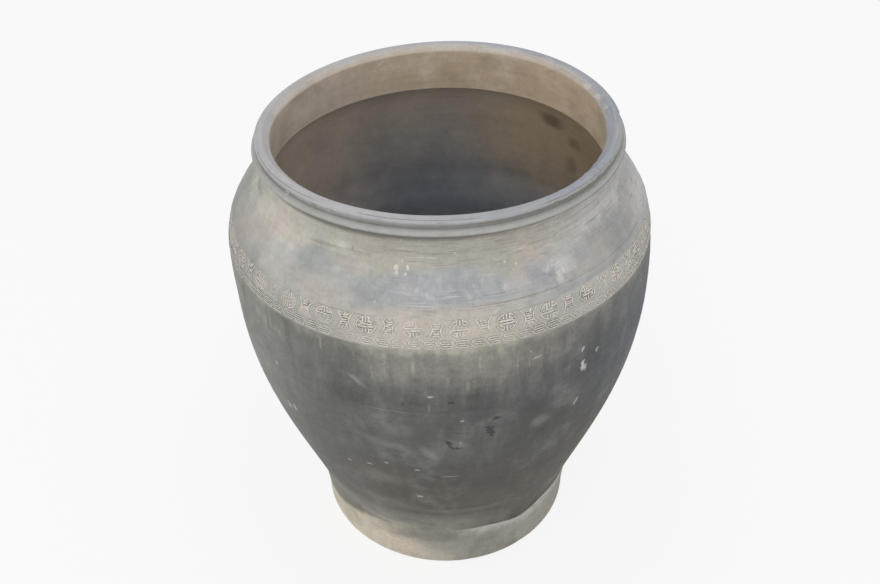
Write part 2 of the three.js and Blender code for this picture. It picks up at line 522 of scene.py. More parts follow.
def key_fret(angle, z):
    """The strokes of the fret, folded over each repeat, their field, and how crisp they are."""
    units = FRET_STAMPS * UNITS_PER_STAMP
    pitch = 2 * np.pi * outer_radius(fret_middle) / units / MM
    unit = (angle + np.pi) / (2 * np.pi) * units
    stamp = (unit // UNITS_PER_STAMP).astype(int)
    rng = np.random.default_rng(41)
    drop = rng.uniform(-FRET_DROP, FRET_DROP, FRET_STAMPS)[stamp]
    depth = rng.uniform(*PRESSED, FRET_STAMPS)[stamp]
    x = (unit % 1) * pitch
    y = (z - fret_middle) / MM - drop
    stroke = np.minimum.reduce([to_path(x + k * pitch, y, fret_path(pitch)) for k in (-1, 0, 1)])
    in_stamp = unit % UNITS_PER_STAMP
    from_end = np.minimum(in_stamp, UNITS_PER_STAMP - in_stamp) * pitch
    wear = patchy(angle, z, seed=42, count=8, turns=(4, 30), rises=200, low=-0.45, high=0.1)
    on_belt = soft_step(np.abs(y), FRET_REACH + FRET_SOFT, FRET_REACH - FRET_SOFT)
    field = on_belt * at_least(FIELD_LEFT, wear)
    crisp = depth * at_least(FRET_LEFT, wear) * soft_step(from_end, 0.0, FRET_GAP)
    return raised(stroke + wobble(angle, z, 43), FRET_STROKE), field, crisp


print("the fret has", FRET_STAMPS * UNITS_PER_STAMP, "units")

# %% Round stamps and hourglass marks
STAMP_PAIRS = 32
FIRST_ROUND = math.radians(-6.3)
STAMP_HEIGHT = 0.9 * MM
STAMP_STROKE = 1.55
STAMP_STRAY = (0.7, 0.5, 0.1)
STAMP_RIM = 1.2
STAMP_LEFT = 0.55
STAMP_WIDEN = 1.13
STAMP_FLATTEN = 0.94
FAR = 9.0
ROUND_RADIUS = 8.2
ARC_MIDDLE = 0.8
ARC_HALF = 0.62
ROUND_STROKES = [[(0, 1.3), (6.6, 1.3)], [(0, 3.4), (0, 7.8)], [(2.5, 6.6), (2.5, 3.7), (5.6, 3.7)]]
WAIST_HALF = 3.4
BRACKET_BEND = 0.06
BRACKET_HALF = 7.8
BRACKET_STROKES = [[(0, 1.1), (2.2, 1.1)], [(0, 3.6), (2.6, 3.6)], [(2.2, 7.2), (2.2, 5.6), (0, 5.6)]]
stamps_middle = (stamps_low + belt_top) / 2


def round_stamp(x, y):
    """A round fret, alike in all four quarters: a broken ring, two bars, a stem and a hook in each quarter.
    Gives the distance to its strokes and to its outline."""
    x, y = np.abs(x), np.abs(y)
    from_ring = np.hypot(x, y) - ROUND_RADIUS
    on_arc = np.abs(np.arctan2(y, x) - ARC_MIDDLE) < ARC_HALF
    strokes = [to_path(x, y, path) for path in ROUND_STROKES]
    return np.minimum.reduce([np.where(on_arc, np.abs(from_ring), FAR), *strokes]), from_ring


def hourglass_mark(x, y):
    """Two brackets back to back, x = waist + bend y², and short bars. Gives the same distances."""
    x, y = np.abs(x), np.abs(y)
    from_bracket = x - WAIST_HALF - BRACKET_BEND * y**2
    bracket = np.abs(from_bracket) / np.hypot(1, 2 * BRACKET_BEND * y)
    strokes = [to_path(x, y, path) for path in BRACKET_STROKES]
    stroke = np.minimum.reduce([np.where(y < BRACKET_HALF, bracket, FAR), *strokes])
    return stroke, np.maximum(from_bracket, y - BRACKET_HALF)


def stamped_row(angle, z, drawing, offset, seed):
    """One drawing repeated round the belt, each stamp with its own place, tilt and depth."""
    pitch = 2 * np.pi * outer_radius(stamps_middle) / STAMP_PAIRS / MM
    turn = (angle - FIRST_ROUND) / (2 * np.pi) * STAMP_PAIRS - offset
    number = np.round(turn).astype(int) % STAMP_PAIRS
    rng = np.random.default_rng(seed)
    aside, up, tilt = (rng.uniform(-limit, limit, STAMP_PAIRS)[number] for limit in STAMP_STRAY)
    depth = rng.uniform(*PRESSED, STAMP_PAIRS)[number]
    x = ((turn - np.round(turn)) * pitch - aside) / STAMP_WIDEN
    y = ((z - stamps_middle) / MM - up) / STAMP_FLATTEN
    stroke, outline = drawing(x * np.cos(tilt) + y * np.sin(tilt), y * np.cos(tilt) - x * np.sin(tilt))
    rough = wobble(angle, z, seed + 20)
    return raised(stroke + rough, STAMP_STROKE), soft_step(outline + 2 * rough, STAMP_RIM, 0.0), depth


def round_stamps(angle, z):
    """The strokes of round stamps and hourglass marks in turn, their fields, and how crisp they are."""
    rounds, discs, round_depth = stamped_row(angle, z, round_stamp, 0.0, 51)
    marks, waists, mark_depth = stamped_row(angle, z, hourglass_mark, 0.5, 52)
    wear = patchy(angle, z, seed=53, count=8, turns=(3, 24), rises=200, low=-0.45, high=0.1)
    depth = np.where(rounds > marks, round_depth, mark_depth)
    return np.maximum(rounds, marks), np.maximum(discs, waists), depth * at_least(STAMP_LEFT, wear)


print(STAMP_PAIRS, "round stamps and as many hourglass marks")

# %% Belts
FRET_ROW = 0.46 * MM
FRET_LINE = 0.2 * MM
STAMP_ROW = 0.66 * MM
STAMP_LINE = 0.3 * MM
GUIDE_LINE_WIDTH = 0.55 * MM
GUIDE_LINE_DROP = 0.9 * MM
GUIDE_LINE_WANDER = 0.35 * MM
BELT_MARGIN = 0.6 * MM


def tag_outside(mesh, name, values):
    """A number for each corner of the first stretch of a ring, and 0 for the rest."""
    padded = np.zeros(len(mesh.vertices))
    padded[:values.size] = values.ravel()
    tag(mesh, name, padded)


def guide_line(z, high, depth):
    """Depth of the line along the top of a belt: a bell across it that wanders and fades in places."""
    wander = GUIDE_LINE_WANDER * waves(belt_angle, z, seed=61, count=5, turns=(2, 12), rises=0)
    fade = patchy(belt_angle, z, seed=62, count=6, turns=(2, 14), rises=0, low=-0.4, high=0.3)
    return depth * fade * bell(z, high - GUIDE_LINE_DROP + wander, GUIDE_LINE_WIDTH)


def belt(node, above, row, ornament, height, line_depth):
    """A belt with its ornament, faded out at both joints, and a broken guide line along its top. The tag
    named edge is 4s(1 - s) for a stroke s, so it is 1 halfway up the sides of each stroke."""
    low, high = joint_under[node], joint_under[above]
    outside = rows(low, high, row)
    inside = rows(low + LAP + HAIR, high + LAP, INNER_ROW)
    z = outside[:, None]
    line = guide_line(z, high, line_depth)
    strokes, field, crisp = ornament(belt_angle, z)
    calm = calm_ends(z, low, high, BELT_MARGIN)
    carving = (height * strokes * crisp - line) * calm
    piece = course(node, outside, inside, belt_angle, carving, strokes * crisp * calm - line / MM)
    tag_outside(piece.data, "edge", 4 * strokes * (1 - strokes) * crisp * calm)
    tag_outside(piece.data, "field", field * calm)
    return piece


fret_piece = belt("fret_belt", "medallion_belt", FRET_ROW, key_fret, FRET_HEIGHT, FRET_LINE)
medallion_piece = belt("medallion_belt", "shoulder_course", STAMP_ROW, round_stamps, STAMP_HEIGHT,
                       STAMP_LINE)

# %% [markdown]
# ## Shoulder and neck
# Above the belts the potter cut a guide line into the shoulder, and the rim of a tool left finer ones on
# the neck. Painted lines would not catch the light, so these are narrow grooves: a bell across each line,
# with a depth that comes and goes. On the inside, the neck ends in a clear edge where the shoulder was
# thinned, so one row of the mesh lies exactly on it.

# %% Shoulder and neck courses
FINE_ROW = 0.6 * MM
LINE_WIDTH = 0.45 * MM
RIGHT_END = math.radians(75)
LEFT_END = math.radians(-25)
SHOULDER_LINES = [(453.6 * MM, 0.5 * MM), (459 * MM, 0.15 * MM)]
NECK_LINES = [(506 * MM, 0.15 * MM), (500 * MM, 0.2 * MM), (493 * MM, 0.2 * MM)]
LINE_FALL = 2 * MM
LINE_WANDER = 0.4 * MM
LINE_MARGIN = 1.5 * MM
END_FADE = 0.4
FAINT = 0.25
UPPER_DENT_MARGIN = 5 * MM


def incised(angle, z, lines, seed):
    """Grooves that fall a little to the right, wander, and fade in places and towards both ends."""
    total = np.zeros(np.broadcast(angle, z).shape)
    reach = soft_step(angle, LEFT_END, 0.0) * soft_step(angle, RIGHT_END + END_FADE, RIGHT_END)
    for number, (height, depth) in enumerate(lines):
        wander = LINE_WANDER * waves(angle, z, seed=seed + number, count=4, turns=(1, 5), rises=0)
        fade = patchy(angle, z, seed=seed + 20 + number, count=5, turns=(2, 11), rises=0,
                      low=-0.8, high=-0.1)
        centre = height - LINE_FALL * np.sin(angle) + wander
        total = total - depth * at_least(FAINT, reach) * fade * bell(z, centre, LINE_WIDTH)
    return total


def with_row_at(heights, level):
    """The same rows with one more at a level, where it lies between them."""
    return np.unique(np.append(heights, np.clip(level, heights[0], heights[-1])))


def upper_course(node, high, lines, seed, joint_above):
    """A course above the belts, with its incised lines and dents."""
    low = joint_under[node]
    outside = rows(low, high, FINE_ROW)
    inside = rows(low + LAP + HAIR, high + LAP * joint_above, INNER_ROW / 2)
    inside = with_row_at(inside, inner_neck_base)
    z = outside[:, None]
    calm = calm_ends(z, low, high, LINE_MARGIN)
    cuts = incised(wall_angle, z, lines, seed) * calm
    dents = shallow_dents(wall_angle, z) * calm_ends(z, low, high, UPPER_DENT_MARGIN)
    return course(node, outside, inside, wall_angle, cuts + dents, cuts / MM, joint_above=joint_above)


shoulder_piece = upper_course("shoulder_course", neck_base, SHOULDER_LINES, 71, True)
neck_piece = upper_course("neck_course", neck_top, NECK_LINES, 81, False)

# %% [markdown]
# ## Lip and bead
# The lip slopes up from the mouth to a narrow crest and rounds over to a ridge. Under the ridge a shallow
# cove leads to a round coil that is luted to the neck. A bevel would round every edge alike, so the
# section is drawn with a few corners and one quarter ellipse, laid out again in even steps and averaged
# along its length many times, as years of wear would soften it. Fine lines and small nicks are cut into
# the result.

# %% Lip coil
LIP_SLOPE_WIDTH = 7.5 * MM
CREST_WIDTH = 2 * MM
RIDGE_PROJECTION = 4 * MM
RIDGE_DROP = 6.3 * MM
RIDGE_UNDERCUT = 1.4 * MM
RIDGE_LIFT = 2 * MM
COVE_DEPTH = 2.2 * MM
LIP_STEP = 0.5 * MM
LIP_WEAR = 9
LIP_STATIONS = 12
LIP_EDGE = 2 * MM
LIP_NICK = 1.0 * MM
LIP_LINE_WANDER = 0.3 * MM
LIP_LINES = [(185.2 * MM, 0.3 * MM, 0.45 * MM), (183.0 * MM, 0.15 * MM, 0.35 * MM)]
bead_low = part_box("rim_bead_coil")[0].z
bead_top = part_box("rim_bead_coil")[1].z
slope_top = MOUTH_RADIUS + LIP_SLOPE_WIDTH
crest_edge = slope_top + CREST_WIDTH
ridge = NECK_RADIUS + RIDGE_PROJECTION
ridge_height = crest - RIDGE_DROP
ridge_bottom = ridge_height - RIDGE_UNDERCUT
ridge_edge = ridge_height + RIDGE_LIFT


def even_steps(points, step):
    """The same outline with points at even steps along its length."""
    along = np.concatenate([[0], np.cumsum(np.hypot(*np.diff(points, axis=0).T))])
    places = np.linspace(0, along[-1], int(along[-1] / step) + 1)
    return np.stack([np.interp(places, along, points[:, k]) for k in (0, 1)], axis=1)


def softened(points, passes):
    """Each point moved to the average of itself and its neighbours; the two ends stay."""
    for _ in range(passes):
        points[1:-1] = (points[:-2] + 2 * points[1:-1] + points[2:]) / 4
    return points


def lip_outline():
    """From the cove, out to the ridge, over the crest and down the slope to the mouth and its wall."""
    t = np.linspace(0, np.pi / 2, LIP_STATIONS)
    across = crest_edge + (ridge - crest_edge) * np.cos(t)
    rounding = np.stack([across, ridge_edge + (crest - ridge_edge) * np.sin(t)], axis=1)
    wall = np.linspace(inner_lip_edge, neck_top, LIP_STATIONS)
    hollow = ridge - COVE_DEPTH
    cove = [(hollow, bead_top + SLIP), (hollow, ridge_bottom), (ridge, ridge_edge)]
    mouth = np.stack([inner_radius(wall), wall], axis=1)
    corners = np.concatenate([cove, rounding, [(slope_top, crest)], mouth])
    return softened(even_steps(corners, LIP_STEP), LIP_WEAR)


def lip_lines(radius, height):
    """Depth of the fine lines round the lip: bells across each line that wander and fade in places."""
    on_rounding = (height > ridge_height)[:, None] & (radius > crest_edge)[:, None]
    total = np.zeros((len(height), WALL_STEPS))
    for number, (middle, depth, width) in enumerate(LIP_LINES):
        wander = LIP_LINE_WANDER * waves(wall_angle, 0.0, seed=91 + number, count=5, turns=(1, 9), rises=0)
        fade = patchy(wall_angle, 0.0, seed=95 + number, count=6, turns=(2, 13), rises=0,
                      low=-0.6, high=0.0)
        total += on_rounding * depth * fade * bell(radius[:, None], middle + wander, width)
    return total


def lip_coil():
    """The worn outline carried round, with fine lines near the ridge and nicks on the edges."""
    radius, height = lip_outline().T
    line = lip_lines(radius, height)
    level = height[:, None]
    nicks = patchy(wall_angle, level, seed=93, count=10, turns=(9, 60), rises=300, low=0.22, high=0.7)
    edges = bell(radius, ridge, LIP_EDGE) * (height > ridge_bottom) + bell(radius, MOUTH_RADIUS, LIP_EDGE)
    inner = soft_step(height, inner_lip_edge, inner_lip_edge - LIP_EDGE) * (radius < slope_top)
    seat = np.array([neck_top, bead_top + SLIP])
    stretches = [(height, radius, inner, True), (seat, np.repeat(NECK_RADIUS, 2), OUTSIDE, False)]
    return ring("lip_coil", stretches, wall_angle, -line - LIP_NICK * nicks * edges[:, None], -line / MM)


lip_piece = lip_coil()

# %% Bead coil
BEAD_PROJECTION = 7.5 * MM
BEAD_SEAT = 2 * MM
BEAD_STATIONS = 26
BEAD_ROLL = 0.3 * MM
BEAD_NICK = 0.7 * MM


def bead_coil():
    """A half ellipse on a short flat seat, carried round, with a hand-rolled thickness."""
    middle = (bead_low + bead_top) / 2
    seat = NECK_RADIUS + SLIP
    t = np.linspace(-np.pi / 2, np.pi / 2, BEAD_STATIONS)
    bulge = BEAD_PROJECTION - BEAD_SEAT
    height = middle + (bead_top - bead_low) / 2 * np.sin(t)
    level = height[:, None]
    rolled = BEAD_ROLL * waves(wall_angle, level, seed=101, count=8, turns=(3, 22), rises=100)
    nicks = patchy(wall_angle, level, seed=102, count=10, turns=(9, 50), rises=300, low=0.35, high=0.8)
    offset = np.cos(t)[:, None] * (rolled - BEAD_NICK * nicks)
    stretches = [(height, seat + BEAD_SEAT + bulge * np.cos(t), OUTSIDE, True),
                 (np.array([bead_top, bead_low]), np.repeat(seat, 2), OUTSIDE, False)]
    return ring("rim_bead_coil", stretches, wall_angle, offset, 0.0)


bead_piece = bead_coil()

# %% [markdown]
# ## The floor of the jar
# The floor is a thick slab with a coil pressed into its corner. Both lie in the dark, and a flat disc
# would do for one picture, but the jar may be looked into or turned over. So the slab has the rings of a
# wire cut below and a dished top, and its two poles are closed with fans of triangles around one corner
# each.

# %% Corner coil
FLOOR_STEPS = 360
CORNER_COIL = 14 * MM
CORNER_COIL_EDGE = 2 * MM
CORNER_STATIONS = 16
FINGER_DEPTH = 0.8 * MM
floor_angle = angles(FLOOR_STEPS)


def corner_coil():
    """A coil with a hollow face: a quarter circle from the wall to the floor, and two flat seats."""
    top = slab_top + CORNER_COIL
    corner = inner_radius(slab_top) - SLIP
    reach = CORNER_COIL - CORNER_COIL_EDGE
    t = np.linspace(0, np.pi / 2, CORNER_STATIONS)
    height = top - reach * np.sin(t)
    fingers = waves(floor_angle, height[:, None], seed=111, count=6, turns=(9, 40), rises=60)
    pressed = FINGER_DEPTH * np.sin(2 * t)[:, None] * fingers
    seats = np.array([corner - CORNER_COIL, corner, inner_radius(top) - SLIP])
    stretches = [(height, corner - CORNER_COIL + reach * np.cos(t), INSIDE, True),
                 (np.array([slab_top, slab_top, top]), seats, INSIDE, False)]
    return ring("base_corner_coil", stretches, floor_angle, pressed, 0.0)


coil_piece = corner_coil()

# %% Floor slab
RING_STEP = 3 * MM
CUT_DEPTH = 0.35 * MM
CUT_EDGE = 12 * MM
DISH = 1.2 * MM
DISH_EDGE = 20 * MM
DISH_BOTTOM = 45 * MM
SLAB_SPIRAL = 0.4 * MM
SLAB_SPIRAL_PITCH = 14 * MM


def slab_faces(shape):
    """Quads between the rings, and a fan of triangles round each pole, whose two corners come last."""
    here = np.arange(shape[0] * shape[1]).reshape(shape)
    right = np.roll(here, -1, axis=1)
    quads = np.stack([here[:-1], right[:-1], right[1:], here[1:]], axis=-1).reshape(-1, 4)
    low_fan = np.stack([np.full(shape[1], here.size), right[0], here[0]], axis=-1)
    high_fan = np.stack([np.full(shape[1], here.size + 1), here[-1], right[-1]], axis=-1)
    return quads.tolist() + low_fan.tolist() + high_fan.tolist()


def floor_slab():
    """Rings from the pole of the underside out to the edge and back over the top to its pole."""
    edge = middle_radius(slab_top) - SLIP
    out = rows(RING_STEP, edge, RING_STEP)[:, None]
    cut = (1 + waves(floor_angle, out, seed=121, count=7, turns=(0, 3), rises=540)) / 2
    under = CUT_DEPTH * cut * soft_step(out, edge, edge - CUT_EDGE)
    spiral = SLAB_SPIRAL * np.sin(2 * np.pi * out / SLAB_SPIRAL_PITCH + floor_angle)
    over = slab_top - soft_step(out, edge - DISH_EDGE, edge - DISH_BOTTOM) * (DISH - spiral)
    radius = np.concatenate([out, out[::-1]])
    z = np.concatenate([under, over[::-1]])
    corners = np.stack([radius * np.sin(floor_angle), -radius * np.cos(floor_angle), z], axis=-1)
    poles = [(0, 0, CUT_DEPTH / 2), (0, 0, slab_top - DISH)]
    corners = np.concatenate([corners.reshape(-1, 3), poles])
    mesh = bpy.data.meshes.new("fired_base_slab")
    mesh.from_pydata(corners.tolist(), [], slab_faces(z.shape))
    smooth = np.ones(len(mesh.polygons), bool)
    smooth[(len(out) - 1) * FLOOR_STEPS:len(out) * FLOOR_STEPS] = False
    mesh.polygons.foreach_set("use_smooth", smooth)
    tag(mesh, "inside", (corners[:, 2] > slab_top / 2).astype(float))
    return stand_for(mesh, "base_slab")


slab_piece = floor_slab()

# %% [markdown]
# ## Painting with arithmetic
# A procedural material is a graph of nodes, and graphs are hard to read in code. The class below wraps
# one socket of the graph: adding, multiplying or comparing two of them adds the node that does it, so the
# finishes further down read like formulas. There, between(a, b) is the range of a layer over which a
# stain fades in, shift(s) lets an edge wander, and a coat is a colour with the mask that lays it on. Such
# ranges are read off the layers, so they stand where they are used.

# %% A socket with arithmetic


class Paint:
    """A value, vector or colour inside a material. Arithmetic on values adds Math nodes."""

    def __init__(self, tree, socket=None):
        self.tree = tree
        self.socket = socket

    def make(self, kind, settings=None, sockets=None, out=0):
        """Any node: its type, its settings, and the values or links of its sockets."""
        node = self.tree.nodes.new(kind)
        for key, value in (settings or {}).items():
            setattr(node, key, value)
        for key, value in (sockets or {}).items():
            if isinstance(value, Paint):
                self.tree.links.new(value.socket, node.inputs[key])
            else:
                node.inputs[key].default_value = value
        return Paint(self.tree, node.outputs[out])

    def math(self, operation, first, second):
        """A Math node on two values."""
        return self.make("ShaderNodeMath", {"operation": operation}, {0: first, 1: second})

    def __add__(self, other):
        return self.math("ADD", self, other)

    __radd__ = __add__

    def __sub__(self, other):
        return self.math("SUBTRACT", self, other)

    def __rsub__(self, other):
        return self.math("SUBTRACT", other, self)

    def __mul__(self, other):
        return self.math("MULTIPLY", self, other)

    __rmul__ = __mul__

    def __truediv__(self, other):
        return self.math("DIVIDE", self, other)

    def __rtruediv__(self, other):
        return self.math("DIVIDE", other, self)

    def __or__(self, other):
        return self.math("MAXIMUM", self, other)

    __ror__ = __or__

    def between(self, low, high):
        """0 below low, 1 above high and eased between; with low above high it falls instead."""
        return self.make("ShaderNodeMapRange", {"interpolation_type": "SMOOTHSTEP"},
                         {"Value": self, "From Min": low, "From Max": high})

    def shift(self, amount):
        """A layer from 0 to 1 as a shift to both sides: its distance from one half, times the amount."""
        return (self - 0.5) * amount

    def noise(self, scale, detail, roughness, seed):
        """Noise on this vector, from 0 to 1. scale is in features per metre along x, y and z."""
        stretched = self.make("ShaderNodeVectorMath", {"operation": "MULTIPLY"}, {0: self, 1: scale})
        sockets = {"Vector": stretched, "W": seed, "Scale": 1.0, "Detail": detail, "Roughness": roughness}
        return self.make("ShaderNodeTexNoise", {"noise_dimensions": "4D"}, sockets)

    def mix(self, low, high, mask):
        """The colour low where the mask is 0 and high where it is 1."""
        pair = [(*colour, 1.0) if isinstance(colour, tuple) else colour for colour in (low, high)]
        return self.make("ShaderNodeMix", {"data_type": "RGBA"}, {0: mask, 6: pair[0], 7: pair[1]}, out=2)

    def under(self, colour, mask):
        """This colour with another laid over it where the mask is 1."""
        return self.mix(self, colour, mask)

    def coats(self, *coats):
        """This colour with others laid over it in turn. A coat is a colour and its mask."""
        colour = self
        for tint, mask in coats:
            colour = colour.under(tint, mask)
        return colour

    def scaled(self, value):
        """This colour made lighter or darker."""
        return self.make("ShaderNodeVectorMath", {"operation": "SCALE"}, {0: self, "Scale": value})


print("words of Paint:", [word for word in vars(Paint) if not word.startswith("_")])

# %% [markdown]
# ## What all the clay shares
# Smoked clay is grainy, wiped with a wet hand along the wheel, stained by water running down, and
# speckled with lime and with pits. These layers are made once for each material from the same Object
# coordinates, which all pieces share, so that a stain goes on across a joint as it does on the real jar.

# %% Shared layers
# Lime grains and pale marks; on the foot the same colour is a painted highlight.
LIME_AND_HIGHLIGHT = (0.72, 0.70, 0.66)
LIME_GRAINS = (60, 1.4 * MM, 0.80)
PIT = (0.05, 0.047, 0.043)
PITS = (31, 1.5 * MM, 0.82)
MARK_DEPTH = 30 * MM
CLAY_IOR = 1.4
SPECK_RAGGED = 0.06
SPECK_CORE = 0.6
WISP_NOISE = ((430, 430, 42), 3, 0.7, 13)
RING_NOISE = ((1, 1, 1), 3, 0.65, 12)
RINGS_OUT = 900
RINGS_UP = 350
RINGS_ROUND = 26
TAGS = ("inside", "relief", "edge", "field")
LAYERS = {
    "cloud": ((7, 7, 7), 2, 0.5, 1),
    "blotch": ((22, 22, 24), 5, 0.6, 2),
    "hue": ((17, 17, 21), 4, 0.55, 3),
    "mottle": ((85, 85, 75), 4, 0.6, 4),
    "crumb": ((260, 260, 260), 2, 0.6, 5),
    "grain": ((640, 640, 640), 3, 0.65, 6),
    "wipe": ((12, 12, 160), 4, 0.65, 7),
    "scratch": ((45, 45, 900), 1, 0.5, 8),
    "streak": ((140, 140, 9), 3, 0.6, 9),
    "smear": ((70, 70, 18), 3, 0.6, 10),
    "drip": ((330, 330, 26), 2, 0.6, 11),
}


class Clay:
    """The layers that every clay finish starts from, and the shader that they end in. The tags of the mesh
    and the noise layers of the table become values of the same names."""

    def __init__(self, name):
        self.material = bpy.data.materials.new(name)
        self.material.use_nodes = True
        self.tree = self.material.node_tree
        self.shader = self.tree.nodes["Principled BSDF"]
        self.start = Paint(self.tree)
        self.place = self.start.make("ShaderNodeTexCoord", out="Object")
        self.x, self.y, self.z = (self.part(axis) for axis in "XYZ")
        for word in TAGS:
            setattr(self, word, self.start.make("ShaderNodeAttribute", {"attribute_name": word}, out="Fac"))
        for word, settings in LAYERS.items():
            setattr(self, word, self.place.noise(*settings))

    def part(self, axis):
        """One coordinate of the place."""
        return self.start.make("ShaderNodeSeparateXYZ", None, {"Vector": self.place}, out=axis)

    def mix(self, low, high, mask):
        """The first colour of a finish, from two."""
        return self.start.mix(low, high, mask)

    def out_from_axis(self):
        """Distance from the jar's axis."""
        sockets = {0: self.place, 1: (1, 1, 0)}
        flat = self.place.make("ShaderNodeVectorMath", {"operation": "MULTIPLY"}, sockets)
        return flat.make("ShaderNodeVectorMath", {"operation": "LENGTH"}, {0: flat}, out="Value")

    def turning(self):
        """Fine rings round the axis that come and go: noise that is fast outwards and slow around."""
        fast = self.out_from_axis() * RINGS_OUT + self.z * RINGS_UP
        sockets = {"X": fast, "Y": self.x * RINGS_ROUND, "Z": self.y * RINGS_ROUND}
        return fast.make("ShaderNodeCombineXYZ", None, sockets).noise(*RING_NOISE)

    def tone(self, blotch, mottle, fine, wipe, smear=0.0):
        """Uneven lightness, about 1: each layer adds its own share."""
        soft = self.blotch.shift(blotch) + self.mottle.shift(mottle) + self.smear.shift(smear)
        return soft + (self.crumb + self.grain - 1.0) * fine + self.wipe.shift(wipe) + 1.0

    def specks(self, per_metre, size, rare):
        """Small spots round some of many scattered points, no two of one size."""
        cell = self.place.make("ShaderNodeTexVoronoi", {"feature": "F1"},
                               {"Vector": self.place, "Scale": per_metre}, out="Distance")
        colour = Paint(self.tree, cell.socket.node.outputs["Color"])
        chance = colour.make("ShaderNodeSeparateColor", None, {"Color": colour}, out="Red")
        wide = chance.between(rare, 1.0) * size * per_metre
        return (cell + self.crumb.shift(SPECK_RAGGED)).between(wide, wide * SPECK_CORE)

    def away(self, angle, height, length, width, tilt=0, radius=None):
        """Distance from a place on the wall, 1 on the rim of an ellipse. Angle and tilt are in degrees, the
        rest is in millimetres. Without a radius the place is on the outside."""
        turn = math.radians(angle)
        out = radius * MM if radius else float(outer_radius(height * MM))
        centre = (out * math.sin(turn), -out * math.cos(turn), height * MM)
        half_sizes = (length * MM / 2, MARK_DEPTH, width * MM / 2)
        sockets = {"Vector": self.place, "Location": centre, "Scale": half_sizes,
                   "Rotation": (0, -math.radians(tilt), turn)}
        local = self.place.make("ShaderNodeMapping", {"vector_type": "TEXTURE"}, sockets)
        return local.make("ShaderNodeVectorMath", {"operation": "LENGTH"}, {0: local}, out="Value")

    def mark(self, *spot):
        """A chip or a flake: an ellipse with a ragged rim."""
        rough = self.crumb.shift(2.6) + self.grain.shift(3.2) + self.mottle.shift(1.0)
        return (self.away(*spot) + rough).between(1.1, 0.7)

    def patch(self, *spot):
        """A stain: it fades from the middle outwards, and its rim wanders."""
        return (self.away(*spot) + self.blotch.shift(1.7) + self.mottle.shift(0.5)).between(1.3, 0.25)

    def scuff(self, *spot):
        """A stain broken up into fine upright streaks."""
        return self.patch(*spot) * self.streak.between(0.42, 0.62)

    def wisp(self, *spot):
        """Thin, broken runs, thickest in the middle of the place."""
        broken = self.place.noise(*WISP_NOISE) + self.mottle.shift(0.3)
        return self.patch(*spot) * broken.between(0.52, 0.68)

    def finish(self, colour, rough, bump, depth):
        """Link the colour, the roughness and the bump to the shader."""
        self.tree.links.new(colour.socket, self.shader.inputs["Base Color"])
        self.tree.links.new(rough.socket, self.shader.inputs["Roughness"])
        normal = bump.make("ShaderNodeBump", None, {"Strength": 1.0, "Distance": depth, "Height": bump})
        self.tree.links.new(normal.socket, self.shader.inputs["Normal"])
        self.shader.inputs["IOR"].default_value = CLAY_IOR
        return self.material


def speckled(clay, colour, lime, pits):
    """Lime grains and pits, scattered over all of the clay."""
    return colour.coats((LIME_AND_HIGHLIGHT, clay.specks(*LIME_GRAINS) * lime), (PIT, clay.specks(*PITS) * pits))


def placed(clay, colour, marks):
    """Marks laid one by one, in groups: a tint, the kind of mark, and each one's strength and place."""
    for tint, kind, *spots in marks:
        colour = colour.coats(*((tint, kind(clay, *spot) * strength) for strength, *spot in spots))
    return colour


def dress(piece, material):
    """Give a piece its only material."""
    piece.data.materials.append(material)
    print(piece.name, "wears", material.name)


print(len(LAYERS), "noise layers in each clay")

# %% [markdown]
# ## The inside
# Inside, the neck is tan where hands and grain have rubbed it, the wall below is brown, and towards the
# floor it turns a dark blue grey. The right side is tan further down and has three dark spots. Painted
# light makes the inside lighter towards the mouth, at the right, and in a ring below its widest part. A
# second material on the inner faces would end in a hard edge at the lip, so one layer goes under every
# course, and the tag named inside fades it in.

# %% Inside of the jar
NECK_TAN = (0.58, 0.465, 0.335)
NECK_ROSE = (0.62, 0.53, 0.45)
NECK_WORN = (0.78, 0.70, 0.60)
NECK_STAIN = (0.40, 0.32, 0.23)
TAN = (0.52, 0.41, 0.285)
BROWN = (0.40, 0.36, 0.315)
DEEP = (0.205, 0.23, 0.272)
STAIN = (0.14, 0.10, 0.07)
INNER_MARKS = [
    (STAIN, Clay.patch, (0.65, 138.6, 440, 36, 32, 0, 209), (0.4, 129.9, 415, 22, 24, 0, 214),
     (0.4, 130.9, 385, 20, 24, 0, 217)),
    (TAN, Clay.mark, (0.5, -153.8, 392, 20, 3, 25, 216)),
]


def inner_neck(clay, side):
    """Tan, rosier at the left, painted light at the right, pale rubbed places and brown runs."""
    colour = clay.mix(NECK_ROSE, NECK_TAN, side.between(-0.13, 0.02))
    # painted light: the right of the inner neck is made lighter
    return colour.scaled(1.0 + clay.x.between(0.04, 0.19) * 0.30).coats(
        (NECK_WORN, clay.blotch.between(0.5, 0.68) * 0.4),
        (NECK_STAIN, clay.hue.between(0.5, 0.36) * 0.4 | clay.smear.between(0.44, 0.3) * 0.25),
        (NECK_STAIN, clay.wipe.between(0.42, 0.3) * 0.3))


